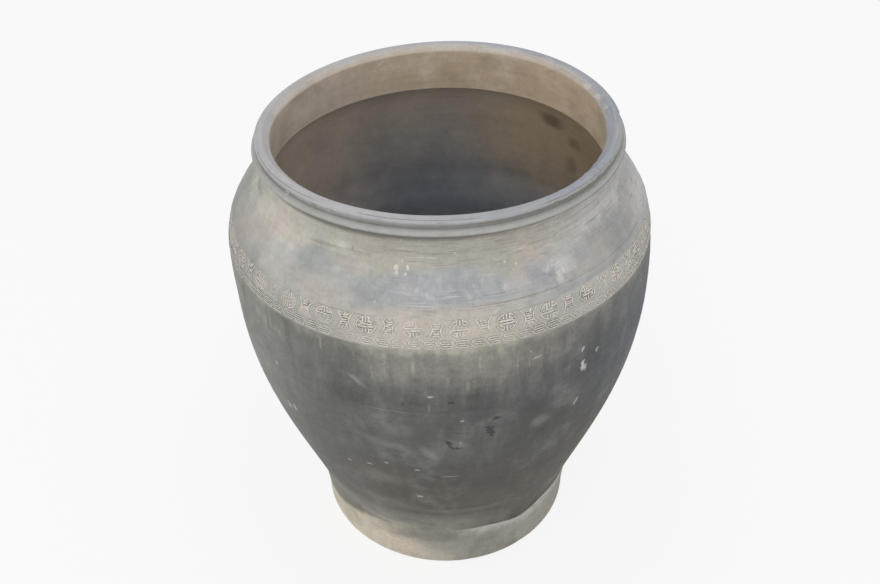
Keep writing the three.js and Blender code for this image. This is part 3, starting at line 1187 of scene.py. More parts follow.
def inner_wall(clay):
    """Blue grey up to brown, tan and rose at the sides, dark spots, the rubbed neck, and painted light
    towards the top, at the right and in a ring below the widest part.
    """
    height = clay.z + clay.blotch.shift(0.06)
    side = clay.x + clay.hue.shift(0.12)
    colour = clay.mix(DEEP, BROWN, height.between(0.30, 0.44)).coats(
        (TAN, side.between(0.0, 0.15) * height.between(0.27, 0.40) * 0.95),
        (NECK_ROSE, side.between(-0.04, -0.18) * height.between(0.14, 0.36) * 0.9))
    # painted light: a lighter ring below the widest part of the inside, stronger at the right
    low_ring = clay.z.between(0.348, 0.328) * clay.z.between(0.285, 0.305)
    colour = colour.scaled(1.0 + low_ring * (0.2 + clay.x.between(0.0, 0.1) * 0.2))
    # painted light: the inside made lighter towards the mouth
    colour = placed(clay, colour.scaled(1.0 + clay.z.between(0.41, 0.475) * 0.6), INNER_MARKS)
    edge = clay.z - inner_neck_base + clay.mottle.shift(0.005) + clay.blotch.shift(0.004)
    colour = colour.under(inner_neck(clay, side), edge.between(-5 * MM, 4 * MM))
    return colour.scaled(clay.tone(0.45, 0.3, 0.2, 0.25))


def fired(clay, colour, marks, lime, pits, tone, bump, depth, rough, uneven, ridges=None):
    """The end of every outer finish: lime, pits and marks, uneven lightness, the inside, roughness, bump.
    tone has the shares of the layers in the lightness, bump those of grain, ridges and mottle."""
    colour = placed(clay, speckled(clay, colour, lime, pits), marks)
    colour = colour.scaled(clay.tone(*tone)).under(inner_wall(clay), clay.inside)
    if ridges is None:
        ridges = clay.wipe
    height = clay.grain * bump[0] + ridges * bump[1] + clay.mottle * bump[2]
    return clay.finish(colour, rough + clay.mottle.shift(uneven), height, depth)


print("the inner neck starts at", round(inner_neck_base / MM), "mm")

# %% [markdown]
# ## Smoked grey wall
# The body was smoked in the kiln: dark grey, greener on one side and bluer on the other. Pale slip from
# the belts ran down over it in streaks, and it carries scuffs, lime chips and darker flakes. A painted
# image could hold all of it, but it would blur close up and show a seam, so stretched noise makes the
# streaks. The marks that show on the front are placed one by one as strength, angle, height, length,
# width and tilt, in degrees and millimetres; scattered cells give the rest its share.

# %% Smoked wall
SMOKE_GREEN = (0.148, 0.152, 0.140)
SMOKE_BLUE = (0.116, 0.118, 0.118)
SMOKE_SLATE = (0.14, 0.151, 0.174)
SMOKE_WARM = (0.122, 0.115, 0.093)
SMOKE_DEEP = (0.085, 0.085, 0.08)
# Pale for blotches, smears and scratches, and for painted light at the left and in the seam.
SMOKE_PALE = (0.25, 0.25, 0.23)
SMOKE_SHEEN = (0.34, 0.345, 0.315)
SLIP_BUFF = (0.50, 0.47, 0.395)
SLIP_GREY = (0.31, 0.297, 0.26)
WISP = (0.44, 0.40, 0.325)
RUST = (0.42, 0.25, 0.13)
FOOT_PALE = (0.78, 0.71, 0.57)
FOOT_GREY = (0.435, 0.41, 0.36)
WISPS = [
    (WISP, Clay.wisp, (0.5, 6.5, 370.5, 40, 16, 12), (0.6, 13, 376.5, 50, 30, 10),
     (0.55, 19, 381, 40, 30, 6), (0.3, 25, 390, 40, 26)),
    (RUST, Clay.wisp, (0.45, 9.4, 373.5, 14, 10)),
]


def slip_runs(clay, colour):
    """Pale slip below the belts: thick at the front, a thin wash at the sides, single runs, and gaps."""
    front = (clay.x + clay.blotch.shift(0.06)).between(-0.10, -0.04) * clay.x.between(0.16, 0.06)
    run = clay.z - fret_low + clay.smear.shift(0.024) + clay.streak.shift(0.015) + clay.blotch.shift(0.03)
    wash = (run + front * 0.012).between(-0.058, 0.0)
    thin = clay.drip.between(0.56, 0.68) * clay.mottle.between(0.4, 0.55) * clay.blotch.between(0.42, 0.58)
    gaps = clay.smear.between(0.46, 0.32) * run.between(-0.08, -0.05) * run.between(0.0, -0.02)
    colour = colour.coats(
        (SLIP_GREY, wash * (0.35 + front * 0.48)),
        (SLIP_BUFF, run.between(-0.013, 0.008) * (0.25 + front * 0.75)),
        (SLIP_BUFF, thin * run.between(-0.05, -0.015) * 0.5),
        (SMOKE_DEEP, gaps * 0.25))
    return placed(clay, colour, WISPS)


def foot_haze(clay, colour):
    """The pale foot shades off upwards at the front and the front left, and not at all at the right."""
    height = clay.z + clay.blotch.shift(0.035) + clay.mottle.shift(0.01)
    pale = clay.x.between(-0.02, -0.06) * clay.x.between(-0.105, -0.075)
    return colour.coats(
        (FOOT_GREY, height.between(0.126, 0.088) * clay.x.between(0.08, 0.0) * 0.54),
        (FOOT_PALE, height.between(0.084, 0.060) * pale * 0.5))


def smoke(clay):
    """Smoke from green to blue grey, slate at the right, warmer low down, painted light and sheen at the
    left, and painted shade low down, more at the right.
    """
    side = clay.x + clay.hue.shift(0.35)
    turn = clay.x / clay.out_from_axis()
    low = clay.z.between(0.33, 0.20)
    colour = clay.mix(SMOKE_GREEN, SMOKE_BLUE, side.between(-0.14, 0.14)).coats(
        (SMOKE_SLATE, clay.x.between(0.13, 0.21) * 0.8),
        (SMOKE_WARM, (clay.z + clay.blotch.shift(0.12)).between(0.33, 0.18)),
        (SMOKE_DEEP, clay.cloud.between(0.52, 0.36) * 0.4),
        (SMOKE_PALE, clay.blotch.between(0.52, 0.72) * 0.45),
        (SMOKE_PALE, clay.smear.between(0.5, 0.75) * 0.25),
        # painted light and sheen: the left side of the wall, and lower down its left flank, made paler
        (SMOKE_PALE, (clay.x + clay.blotch.shift(0.1)).between(-0.09, -0.215) * 0.95),
        (SMOKE_SHEEN, clay.x.between(-0.14, -0.215) * 0.9 | turn.between(-0.75, -0.95) * low * 0.5),
        (SMOKE_PALE, turn.between(-0.2, -0.5) * low * 0.32))
    # painted shade: darker low down, more so where the wall turns away to the right
    colour = colour.scaled(1.0 - (0.05 + turn.between(0.3, 0.6) * 0.04) * low)
    scratches = clay.scratch.between(0.64, 0.74) * clay.blotch.between(0.45, 0.6)
    return colour.under(SMOKE_PALE, scratches * 0.6)


def smoked_clay(name, marks):
    """Smoke under slip from the belts and haze from the foot, and a painted highlight in the seam at
    the left.
    """
    clay = Clay(name)
    colour = foot_haze(clay, slip_runs(clay, smoke(clay)))
    # painted highlight: the seam groove made paler at the left
    seam_highlight = clay.relief.between(-0.08, -0.35) * clay.x.between(0.05, -0.03) * clay.blotch.between(0.35, 0.55)
    return fired(clay, colour.under(SMOKE_PALE, seam_highlight * 0.5), marks, lime=0.6, pits=0.5,
                 tone=(0.9, 0.6, 0.4, 0.25, 0.35), bump=(0.35, 0.8, 0.9), depth=0.6 * MM,
                 rough=0.66, uneven=0.3)


print("slip runs down from", round(fret_low / MM), "mm")

# %% Marks on the smoked wall
CHIP = (0.68, 0.66, 0.62)
FLAKE = (0.045, 0.046, 0.045)
SMEAR = (0.30, 0.30, 0.275)
LOWER_MARKS = [
    (SMEAR, Clay.patch, (0.35, -22, 135, 100, 30, -6), (0.3, 6, 125, 120, 15)),
]
MIDDLE_MARKS = [
    (SMEAR, Clay.patch, (0.35, -20, 205, 50, 30)),
    (CHIP, Clay.mark, (0.6, -29.5, 221, 7, 3), (0.7, -22.5, 229, 6, 3), (0.6, -16.5, 240, 5, 3, -20),
     (0.9, -10.7, 247.5, 6, 3), (0.6, -7.7, 234, 5, 2.5), (0.35, 0.8, 221.5, 20, 2.2),
     (0.7, -8.5, 168, 7, 3)),
    (FLAKE, Clay.patch, (0.35, -3.5, 222, 20, 12, -30)),
]
BELLY_MARKS = [
    (SMEAR, Clay.patch, (0.4, -11.7, 306, 30, 24), (0.3, -17.6, 281, 50, 14, -15),
     (0.6, -3.9, 268, 16, 32, 35), (0.5, 25.4, 298, 24, 18, 15)),
    (FLAKE, Clay.mark, (0.85, 13, 320.5, 8.5, 5), (0.9, 11.9, 301.5, 7.5, 18, 20),
     (0.9, 1.3, 285, 7, 14, 25), (0.7, 3.4, 278, 10, 3.5)),
    (FLAKE, Clay.patch, (0.35, 10.8, 311, 12, 30, 15)),
    (CHIP, Clay.mark, (0.6, 4.7, 322.5, 5, 3), (0.6, 36.3, 302, 3, 10, -20),
     (0.7, -45.8, 275.7, 6, 12, 10), (0.7, -48.5, 273, 6, 10, 10)),
]
UPPER_MARKS = [
    (SMOKE_DEEP, Clay.patch, (0.3, -24, 345, 70, 26, -8), (0.4, 8, 338, 100, 12, 4)),
    (FLAKE, Clay.scuff, (0.6, -8.6, 345.5, 28, 8)),
    (FLAKE, Clay.mark, (0.7, 1.8, 349.2, 7.5, 3.5)),
    (CHIP, Clay.mark, (0.6, -3.2, 357.8, 6, 3), (0.95, 37.4, 348.5, 8, 9, 10),
     (0.9, 36.9, 355.5, 5, 7, -10), (0.7, 36.6, 374.5, 2.8, 7, -15), (0.6, 41.8, 362.4, 3.5, 6),
     (0.45, 23.2, 389.2, 10, 3, 8), (0.5, -48.4, 337, 4, 7)),
    (SMEAR, Clay.patch, (0.8, -21.4, 368.5, 24, 7, -38)),
    (SMEAR, Clay.mark, (0.5, -3.5, 342, 2.2, 14)),
    (SLIP_BUFF, Clay.mark, (0.4, -30.4, 403, 2.5, 14), (0.35, -37, 408, 2, 10), (0.5, -6.9, 397, 4, 20)),
]
wall_marks = {"lower_course": LOWER_MARKS, "middle_course": MIDDLE_MARKS,
              "belly_course": BELLY_MARKS, "upper_belly_course": UPPER_MARKS}
for node, piece in plain_pieces.items():
    dress(piece, smoked_clay(f"smoked_clay_{node}", wall_marks[node]))

# %% [markdown]
# ## Buff clay of the foot and the belts
# The foot and the belts stayed pale: buff slip with grey and pinkish blotches. On the belts the raised
# strokes are rubbed pale and carry a painted highlight, and a thin line of dirt and painted shade runs
# along their edges. A mask from the slope of the surface would also catch the dents, so tags on the mesh
# tell the strokes, their edges and the stamped fields apart.

# %% Foot
PINKISH = (0.80, 0.69, 0.575)
FOOT_SMOKE = (0.255, 0.24, 0.205)
SMOKE_FALL = 28 * MM
SMOKE_FALL_REACH = (-0.07, -0.15)


def foot_clay():
    """Pale at the left under falling smoke, grey at the front and right, dark above the proud edge, and a
    painted highlight below it.
    """
    clay = Clay("buff_foot_clay")
    dark = smoke(clay)
    side = clay.x + clay.blotch.shift(0.10)
    smoky = (clay.z + clay.blotch.shift(0.03)).between(0.030, 0.052) * side.between(-0.11, -0.03)
    middle = side.between(0.0, 0.03) * side.between(0.09, 0.06)
    left = clay.z - foot_top + clay.x.between(*SMOKE_FALL_REACH) * SMOKE_FALL + clay.blotch.shift(0.02)
    dip = clay.x.between(*DIP_START) * clay.x.between(*DIP_END) * EDGE_DIP
    fall = clay.z - foot_top + dip + clay.mottle.shift(0.002)
    # painted highlight: a pale band below the proud edge, where it catches the light
    rim = fall.between(-26 * MM, -3 * MM) * clay.x.between(0.005, 0.04)
    colour = clay.mix(FOOT_PALE, FOOT_GREY, side.between(-0.11, 0.0)).coats(
        (PINKISH, clay.patch(-24, 22, 90, 50) * 0.7),
        (FOOT_PALE, clay.patch(-6, 10, 60, 30) * 0.45),
        (FOOT_PALE, clay.streak.between(0.55, 0.75) * 0.25 | clay.blotch.between(0.56, 0.7) * 0.3),
        (FOOT_SMOKE, smoky * clay.x.between(0.05, 0.0) * 0.75 | middle * 0.48),
        (FOOT_SMOKE, clay.hue.between(0.5, 0.38) * side.between(-0.06, 0.0) * 0.3),
        (FOOT_SMOKE, clay.patch(29, 12, 30, 20) * 0.4),
        (dark, left.between(-9 * MM, 6 * MM) * clay.x.between(-0.05, -0.08) * 0.8),
        (LIME_AND_HIGHLIGHT, rim * (0.3 + clay.mottle.between(0.35, 0.55) * 0.2)),
        (dark, fall.between(-1.5 * MM, 0.0) * clay.x.between(-0.02, 0.05)))
    return fired(clay, colour, [], lime=0.4, pits=0.5, tone=(0.6, 0.6, 0.3, 0.25, 0.2),
                 bump=(0.5, 0.6, 0.8), depth=0.6 * MM, rough=0.78, uneven=0.2)


dress(foot_piece, foot_clay())

# %% Belts
BELT_GREY = (0.49, 0.485, 0.45)
BELT_BUFF = (0.60, 0.545, 0.47)
BELT_PINK = (0.64, 0.57, 0.50)
BELT_RAISED = (0.78, 0.73, 0.66)
BELT_SHADE = (0.30, 0.295, 0.27)
# Dark for dirt and painted shade along the strokes and in the guide line.
BELT_DIRT_AND_SHADE = (0.17, 0.16, 0.14)


def belt_clay(name, field, rub):
    """Grey and buff by patches, darker at the left, pink fields, rubbed strokes with a painted highlight on
    top, dirt and painted shade along their edges, and darker in the guide line.
    """
    clay = Clay(name)
    front = clay.patch(-2, stamps_low / MM, 240, 100, 0, 220)
    low_edge = (clay.z + clay.blotch.shift(0.012)).between(fret_low + 4 * MM, fret_low)
    rubbed = clay.relief.between(0.2, 0.75) * clay.mottle.between(0.2, 0.45)
    # dirt and painted shade: a thin dark line along the sides of each stroke, darker at the sides of the
    # jar
    edge_dirt_and_shade = clay.edge.between(0.1, 0.7) * clay.mottle.between(0.18, 0.42)
    edge_dirt_and_shade = edge_dirt_and_shade * (0.75 + (clay.x * clay.x).between(0.001, 0.01) * 0.25)
    colour = clay.mix(BELT_GREY, BELT_BUFF, clay.hue.between(0.5, 0.66) * 0.7 | front * 0.85).coats(
        (BELT_SHADE, clay.x.between(-0.04, -0.15) * 0.2),
        (BELT_PINK, clay.field * clay.blotch.between(0.3, 0.6) * field),
        (SLIP_GREY, low_edge * 0.35),
        # painted highlight on the tops of the strokes, besides the rubbed wear
        (BELT_RAISED, rubbed * rub | clay.relief.between(0.5, 1.0) * 0.4),
        (BELT_DIRT_AND_SHADE, edge_dirt_and_shade | clay.relief.between(-0.08, -0.3) * 0.5))
    return fired(clay, colour, [], lime=0.4, pits=0.3, tone=(0.4, 0.3, 0.3, 0.15),
                 bump=(0.5, 0.0, 0.5), depth=0.5 * MM, rough=0.78, uneven=0.2)


dress(fret_piece, belt_clay("buff_fret_clay", field=0.15, rub=0.75))
dress(medallion_piece, belt_clay("buff_medallion_clay", field=0.6, rub=1.0))

# %% [markdown]
# ## Shoulder, neck and lip
# The shoulder is light grey with a bluish haze at the front and beige and pink blotches to the sides. The
# neck is warmer, and the smoothed lip is cool again, but rosy on its slope at the back. The cut lines are
# darker, painted shade lies under the bead and the ridge, and painted light and shade change the sides of
# shoulder and neck. With a colour for each piece a hard edge would show at the joint, so the shoulder
# takes up the neck's colour at its top.

# %% Shoulder
SHOULDER_GREEN = (0.475, 0.48, 0.45)
SHOULDER_ROSE = (0.51, 0.47, 0.43)
SHOULDER_BLUE = (0.39, 0.40, 0.42)
SHOULDER_SLATE = (0.38, 0.395, 0.39)
SHOULDER_LILAC = (0.38, 0.375, 0.40)
SHOULDER_SHADE = (0.27, 0.26, 0.235)
NECK_BUFF = (0.45, 0.43, 0.37)
NECK_PINK = (0.48, 0.43, 0.38)
NECK_GREY = (0.43, 0.43, 0.42)
SHOULDER_MARKS = [
    (SHOULDER_SLATE, Clay.patch, (0.7, -36, 474, 70, 26), (0.8, -20, 462, 60, 32)),
    (SHOULDER_ROSE, Clay.patch, (0.8, -32, 457, 80, 22), (0.8, -24, 482, 50, 20)),
    (SHOULDER_LILAC, Clay.patch, (0.8, 27, 467, 35, 24)),
    (SHOULDER_ROSE, Clay.patch, (0.7, 39.5, 457, 35, 18)),
    (SHOULDER_BLUE, Clay.patch, (0.75, 0, 476, 100, 22)),
    (LIME_AND_HIGHLIGHT, Clay.scuff, (0.2, 0, 474, 110, 24)),
    (SHOULDER_ROSE, Clay.patch, (0.6, 48, 460, 50, 30, 20)),
    (SHOULDER_SHADE, Clay.patch, (0.3, 54, 465, 40, 40, 20)),
    (LIME_AND_HIGHLIGHT, Clay.patch, (0.2, 36, 478, 50, 18, -10)),
    (SHOULDER_SHADE, Clay.patch, (0.35, 63, 462, 30, 30), (0.35, -58, 452, 30, 30)),
    (LIME_AND_HIGHLIGHT, Clay.scuff, (0.75, 31, 464, 30, 20, -30)),
    (LIME_AND_HIGHLIGHT, Clay.patch, (0.5, 35, 466.5, 28, 14, -10)),
    (LIME_AND_HIGHLIGHT, Clay.scuff, (0.5, 16.8, 463.5, 10, 8)),
    (LIME_AND_HIGHLIGHT, Clay.mark, (0.85, -12, 482, 4, 5), (0.7, -11.7, 478.5, 3.5, 4), (0.9, -8.8, 482.5, 2.5, 6),
     (0.7, -9.2, 477.5, 2, 2.5), (0.6, 13.4, 447.8, 9, 2.5, 20), (0.6, 21, 477.3, 2.2, 2.4),
     (0.6, 17.9, 480.3, 2.2, 2.4), (0.6, -16.5, 456.4, 2.2, 2.4)),
]


def neck_colour(clay):
    """Buff and pink by patches, greyer at the right, and painted light at both sides, more at the left."""
    buff = clay.mix(NECK_BUFF, NECK_PINK, clay.hue.between(0.48, 0.64) * 0.8)
    grey = clay.blotch.between(0.46, 0.34) * 0.7 | clay.x.between(0.07, 0.16) * 0.8
    # painted light: both sides of the neck made lighter, the left more
    sides = (clay.x * clay.x).between(0.006, 0.02) * 0.2 + clay.x.between(-0.04, -0.09) * 0.12
    return buff.under(NECK_GREY, grey).scaled(1.0 + sides)


def shoulder_clay():
    """Green grey and rose by patches, the neck's buff from above, a blue haze in front, pale smears, and
    painted light and shade by side.
    """
    clay = Clay("hazy_shoulder_clay")
    colour = clay.mix(SHOULDER_GREEN, SHOULDER_ROSE, clay.hue.between(0.42, 0.62))
    colour = colour.under(SHOULDER_BLUE, clay.x.between(0.05, 0.13) * 0.5)
    # painted light and shade: darker at the far left and right of the front, lighter at the left and far
    # right
    sides = clay.x.between(0.17, 0.215) * 0.45 - clay.x.between(-0.16, -0.21) * 0.2
    sides = sides + clay.x.between(-0.04, -0.09) * 0.06 - clay.x.between(0.08, 0.16) * 0.14
    top = clay.z + clay.blotch.shift(0.03) + clay.mottle.shift(0.01)
    top = top - (clay.x * clay.x).between(0.001, 0.012) * 0.007
    haze = clay.patch(2, 465, 220, 46)
    cool = clay.blotch.between(0.42, 0.28) * clay.x.between(-0.12, 0.0) * 0.5
    rise = (clay.z + clay.blotch.shift(0.012)).between(0.458, 0.448)
    buff = rise * clay.x.between(-0.09, -0.03) * clay.x.between(0.12, 0.03)
    smears = clay.smear.between(0.5, 0.7) * clay.streak.between(0.42, 0.62) * haze
    colour = colour.scaled(1.0 + sides).coats(
        (neck_colour(clay), top.between(0.465, 0.482)),
        (SHOULDER_BLUE, haze * 0.9 | cool),
        (BELT_BUFF, buff * 0.8),
        (LIME_AND_HIGHLIGHT, smears * 0.45 | clay.scratch.between(0.40, 0.32) * haze * 0.4),
        (SHOULDER_SHADE, clay.relief.between(-0.06, -0.3) * 0.65),
        (SHOULDER_SHADE, clay.scratch.between(0.60, 0.70) * clay.x.between(-0.08, 0.02) * 0.65))
    return fired(clay, colour, SHOULDER_MARKS, lime=0.8, pits=0.4, tone=(0.5, 0.35, 0.3, 0.35, 0.3),
                 bump=(0.35, 0.7, 0.6), depth=0.5 * MM, rough=0.72, uneven=0.2)


dress(shoulder_piece, shoulder_clay())

# %% Neck
# A dark colour for dirt in the lip's lines, rings and marks, and for painted shade under the bead and the
# ridge.
LIP_DARK = (0.15, 0.147, 0.132)
NECK_MARKS = [
    (LIME_AND_HIGHLIGHT, Clay.patch, (0.5, -59.8, 484, 16, 30, 20)),
    (SHOULDER_SHADE, Clay.patch, (0.5, -74.6, 486, 30, 20)),
    (SHOULDER_SHADE, Clay.mark, (0.5, -25.4, 492, 1.5, 5)),
    (LIME_AND_HIGHLIGHT, Clay.mark, (0.6, -10.4, 487, 2.2, 2.4), (0.6, 4.3, 494, 2.2, 2.4)),
    (LIME_AND_HIGHLIGHT, Clay.patch, (0.4, -29, 493, 20, 10)),
    (SHOULDER_SHADE, Clay.patch, (0.45, -34, 488, 50, 4, 3), (0.4, -24, 489, 30, 4, -4)),
]


def neck_clay():
    """Neck colour, darker in the cut lines, dark and pale scratches, and a painted shadow under the bead.
    """
    clay = Clay("buff_neck_clay")
    shade = clay.z - bead_low + clay.mottle.shift(0.004)
    colour = neck_colour(clay).coats(
        (SHOULDER_SHADE, clay.relief.between(-0.04, -0.2) * 0.6),
        (SHOULDER_SHADE, clay.scratch.between(0.59, 0.69) * clay.x.between(-0.12, 0.0) * 0.75),
        (LIME_AND_HIGHLIGHT, clay.scratch.between(0.38, 0.29) * clay.blotch.between(0.45, 0.6) * 0.4),
        # painted shadow: a dark band on the neck just under the bead
        (LIP_DARK, shade.between(-8 * MM, -3 * MM) * 0.8))
    return fired(clay, colour, NECK_MARKS, lime=0.6, pits=0.5, tone=(0.4, 0.35, 0.3, 0.4, 0.2),
                 bump=(0.35, 0.8, 0.5), depth=0.5 * MM, rough=0.74, uneven=0.2)


dress(neck_piece, neck_clay())

# %% Lip and bead
LIP_WARM = (0.50, 0.49, 0.495)
LIP_COOL = (0.37, 0.387, 0.43)
LIP_OLIVE = (0.445, 0.44, 0.41)
LIP_ROSE = (0.60, 0.555, 0.51)
LIP_MARKS = [
    (LIME_AND_HIGHLIGHT, Clay.mark, (0.5, 112, 525, 12, 5, 0, 171), (0.5, 104, 525.5, 14, 4, 0, 172),
     (0.4, 96, 525.5, 8, 4, 0, 172)),
    (LIP_DARK, Clay.scuff, (0.45, 57, 523, 60, 12, 0, 187)),
    (LIME_AND_HIGHLIGHT, Clay.mark, (0.6, -50, 524, 5, 4, 0, 186)),
    (LIP_DARK, Clay.mark, (0.5, -37.6, 527, 6, 3, 0, 178), (0.5, -31, 527, 5, 3, 0, 177)),
    (LIME_AND_HIGHLIGHT, Clay.mark, (0.6, -23.8, 517, 6, 4, 0, 192)),
]


def lip_clay(name, shade_low, shade_high):
    """Warm grey at the left, cool at the right, rosy at the back, olive low down, darker in the cut lines,
    and painted shade between the two given heights: the cove for the lip, the underside for the bead.
    """
    clay = Clay(name)
    rings = clay.turning()
    side = clay.x + clay.hue.shift(0.15)
    out = clay.out_from_axis()
    slope = (out + clay.mottle.shift(0.008)).between(slope_top + 1 * MM, slope_top - 3 * MM)
    back = (clay.y + clay.blotch.shift(0.1)).between(0.0, 0.13)
    mouth = out - MOUTH_RADIUS + clay.mottle.shift(0.01) + clay.crumb.shift(0.005)
    low = (clay.z + clay.mottle.shift(0.004)).between(ridge_edge + 1 * MM, ridge_edge - 1 * MM)
    outside = out.between(crest_edge - 2 * MM, crest_edge)
    groove = (clay.z + clay.mottle.shift(0.002)).between(shade_high, shade_low)
    grime = clay.mottle.between(0.48, 0.6) * clay.crumb.between(0.45, 0.6) * clay.x.between(0.06, 0.15)
    colour = clay.mix(LIP_WARM, LIP_COOL, side.between(-0.10, 0.14)).coats(
        (LIP_ROSE, slope * back * 0.85),
        (NECK_TAN, mouth.between(5 * MM, 1 * MM) * clay.y.between(-0.04, 0.06) * 0.6),
        (LIP_OLIVE, (low * 0.9 | clay.hue.between(0.5, 0.6) * 0.5) * outside),
        (LIP_DARK, rings.between(0.56, 0.72) * (0.25 + clay.x.between(-0.02, 0.08) * 0.4)),
        (LIME_AND_HIGHLIGHT, rings.between(0.42, 0.3) * 0.3),
        (LIP_DARK, clay.relief.between(-0.05, -0.2) * 0.5),
        # painted shade: the band between the two given heights is darkened
        (LIP_DARK, groove * outside * 0.6),
        (LIP_DARK, grime * 0.25))
    return fired(clay, colour, LIP_MARKS, lime=0.5, pits=0.6, tone=(0.25, 0.3, 0.2, 0.2),
                 bump=(0.3, 0.6, 0.5), depth=0.4 * MM, rough=0.6, uneven=0.25, ridges=rings)


# The lip gets painted shade in the cove under its ridge, the bead on its lowest 2 mm.
dress(lip_piece, lip_clay("smoothed_lip_clay", ridge_bottom, ridge_edge))
dress(bead_piece, lip_clay("smoothed_bead_clay", bead_low, bead_low + 2 * MM))

# %% Floor of the jar
UNDER_CLAY = (0.40, 0.37, 0.31)
FLOOR_PITS = (33, 1.8 * MM, 0.8)


def floor_clay(name):
    """Buff and grey by patches with pits below, and brown silt on dark grey above."""
    clay = Clay(name)
    colour = clay.mix(UNDER_CLAY, FOOT_GREY, clay.blotch.between(0.42, 0.6))
    silt = clay.mix(DEEP, BROWN, clay.blotch.between(0.5, 0.7) * 0.5)
    colour = colour.coats((PIT, clay.specks(*FLOOR_PITS) * 0.5), (silt, clay.inside))
    colour = colour.scaled(clay.tone(0.3, 0.3, 0.3, 0.0))
    bump = clay.grain * 0.6 + clay.mottle * 0.8
    return clay.finish(colour, 0.82 + clay.mottle.shift(0.2), bump, 0.6 * MM)


dress(slab_piece, floor_clay("silted_slab_clay"))
dress(coil_piece, floor_clay("silted_coil_clay"))

# %% [markdown]
# ## Floor, light and camera
# The jar stands on a plain pale floor under a soft sky, with one large lamp in front, above and a little
# to the left. Many lamps could give the same even light, but a sky is simpler. It shows white to the
# camera and is a plain level of light to everything else. The floor glows a little for the camera, so
# that it looks nearly white and still keeps the jar's shadow. The camera stands where the photographer
# did, a little over arm's length away and well above the rim, and turned a few degrees.

# %% Floor and world
FLOOR_SIZE = 6.0
FLOOR_SEEN = (0.95, 0.95, 0.95)
FLOOR_PLAIN = (0.5, 0.5, 0.49)
FLOOR_GLOW = 0.8
WHITE = (1.0, 1.0, 1.0)
SKY = (0.985, 0.99, 1.0)
SKY_LEVEL = 0.74


def seen_directly(paint):
    """1 for rays from the camera and from mirror-like or clear surfaces, else 0."""
    kinds = ("Camera", "Glossy", "Transmission")
    camera_ray, glossy_ray, clear_ray = (
        paint.make("ShaderNodeLightPath", out=f"Is {kind} Ray") for kind in kinds)
    return camera_ray | glossy_ray | clear_ray


def floor_finish():
    """Matt pale grey; where it is seen directly it is paler and part of it is a white glow."""
    material = bpy.data.materials.new("pale_floor")
    material.use_nodes = True
    tree = material.node_tree
    paint = Paint(tree)
    direct = seen_directly(paint)
    shader = tree.nodes["Principled BSDF"]
    tree.links.new(paint.mix(FLOOR_PLAIN, FLOOR_SEEN, direct).socket, shader.inputs["Base Color"])
    shader.inputs["Roughness"].default_value = 1.0
    shader.inputs["Specular IOR Level"].default_value = 0.0
    glow = paint.make("ShaderNodeEmission", None, {"Color": (*WHITE, 1.0), "Strength": 1.0})
    surface = Paint(tree, shader.outputs[0])
    both = paint.make("ShaderNodeMixShader", None, {0: direct * FLOOR_GLOW, 1: surface, 2: glow})
    tree.links.new(both.socket, tree.nodes["Material Output"].inputs["Surface"])
    return material


def pale_floor():
    """A square floor, which is stage and no piece of the jar."""
    half = FLOOR_SIZE / 2
    corners = [(-half, -half, 0), (half, -half, 0), (half, half, 0), (-half, half, 0)]
    mesh = bpy.data.meshes.new("pale_floor")
    mesh.from_pydata(corners, [], [(0, 1, 2, 3)])
    mesh.materials.append(floor_finish())
    ground = bpy.data.objects.new("pale_floor", mesh)
    bpy.context.scene.collection.objects.link(ground)


def soft_sky():
    """White where it is seen directly, else a level of nearly white light."""
    world = bpy.data.worlds.new("soft_sky")
    world.use_nodes = True
    bpy.context.scene.world = world
    tree = world.node_tree
    paint = Paint(tree)
    direct = seen_directly(paint)
    background = tree.nodes["Background"]
    tree.links.new(paint.mix(SKY, WHITE, direct).socket, background.inputs["Color"])
    tree.links.new((SKY_LEVEL + direct * (1 - SKY_LEVEL)).socket, background.inputs["Strength"])


pale_floor()
soft_sky()
bpy.context.scene.view_settings.view_transform = "Standard"
print("floor", FLOOR_SIZE, "m wide, sky at", SKY_LEVEL)

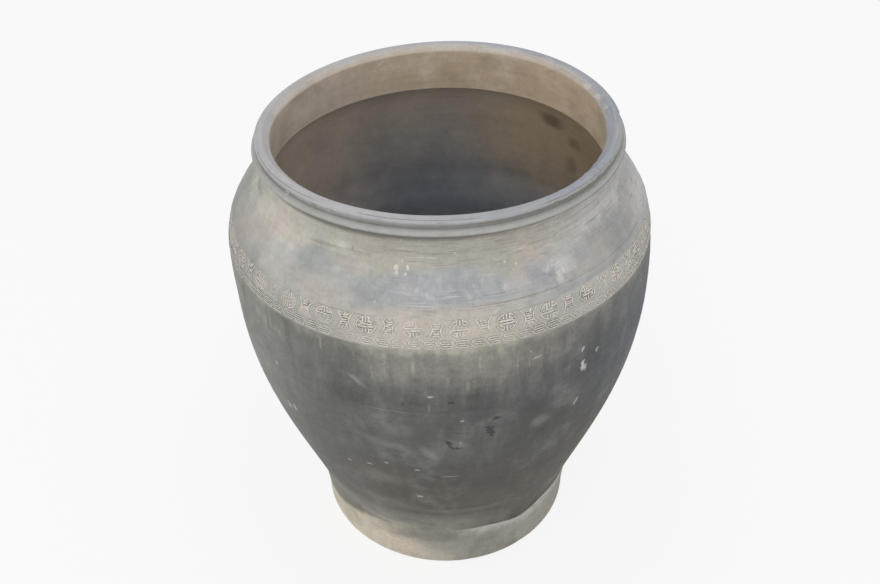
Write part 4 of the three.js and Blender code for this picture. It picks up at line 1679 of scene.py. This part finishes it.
# %% Lamp
LAMP_PLACE = Vector((-0.3, -2.3, 1.9))
LAMP_AIM = Vector((0, 0, 0.3))
LAMP_SIZE = 2.6
LAMP_POWER = 18.0

lamp_data = bpy.data.lights.new("large_soft_lamp", "AREA")
lamp_data.shape = "DISK"
lamp_data.size = LAMP_SIZE
lamp_data.energy = LAMP_POWER
lamp = bpy.data.objects.new("large_soft_lamp", lamp_data)
bpy.context.scene.collection.objects.link(lamp)
lamp.location = LAMP_PLACE
lamp.rotation_mode = "QUATERNION"
lamp.rotation_quaternion = (LAMP_AIM - LAMP_PLACE).to_track_quat("-Z", "Y")
print("lamp", LAMP_SIZE, "m across,", round((LAMP_AIM - LAMP_PLACE).length, 2), "m away")

# %% Camera
IMAGE_WIDTH = 880
SENSOR_WIDTH = 36.0
FOCAL_PIXELS = 979.5
CAMERA_PLACE = Vector((0, -0.9062, 1.0134))
PITCH = math.radians(41.146)
YAW = math.radians(-4.731)
ROLL = math.radians(-4.590)
CENTRE_OFFSET = (-59.0, 57.4)

forward = Vector((math.sin(YAW) * math.cos(PITCH), math.cos(YAW) * math.cos(PITCH), -math.sin(PITCH)))
level_right = forward.cross(Vector((0, 0, 1))).normalized()
level_up = level_right.cross(forward)
right = math.cos(ROLL) * level_right + math.sin(ROLL) * level_up
up = math.cos(ROLL) * level_up - math.sin(ROLL) * level_right

camera_data = bpy.data.cameras.new("photo_camera")
camera_data.sensor_width = SENSOR_WIDTH
camera_data.sensor_fit = "HORIZONTAL"
camera_data.lens = FOCAL_PIXELS * SENSOR_WIDTH / IMAGE_WIDTH
camera_data.shift_x = -CENTRE_OFFSET[0] / IMAGE_WIDTH
camera_data.shift_y = CENTRE_OFFSET[1] / IMAGE_WIDTH
camera = bpy.data.objects.new("photo_camera", camera_data)
bpy.context.scene.collection.objects.link(camera)
camera_turn = Matrix((right, up, -forward)).transposed().to_4x4()
camera.matrix_world = Matrix.Translation(CAMERA_PLACE) @ camera_turn
bpy.context.scene.camera = camera
print("camera", round(camera_data.lens, 2), "mm lens")

# %% [markdown]
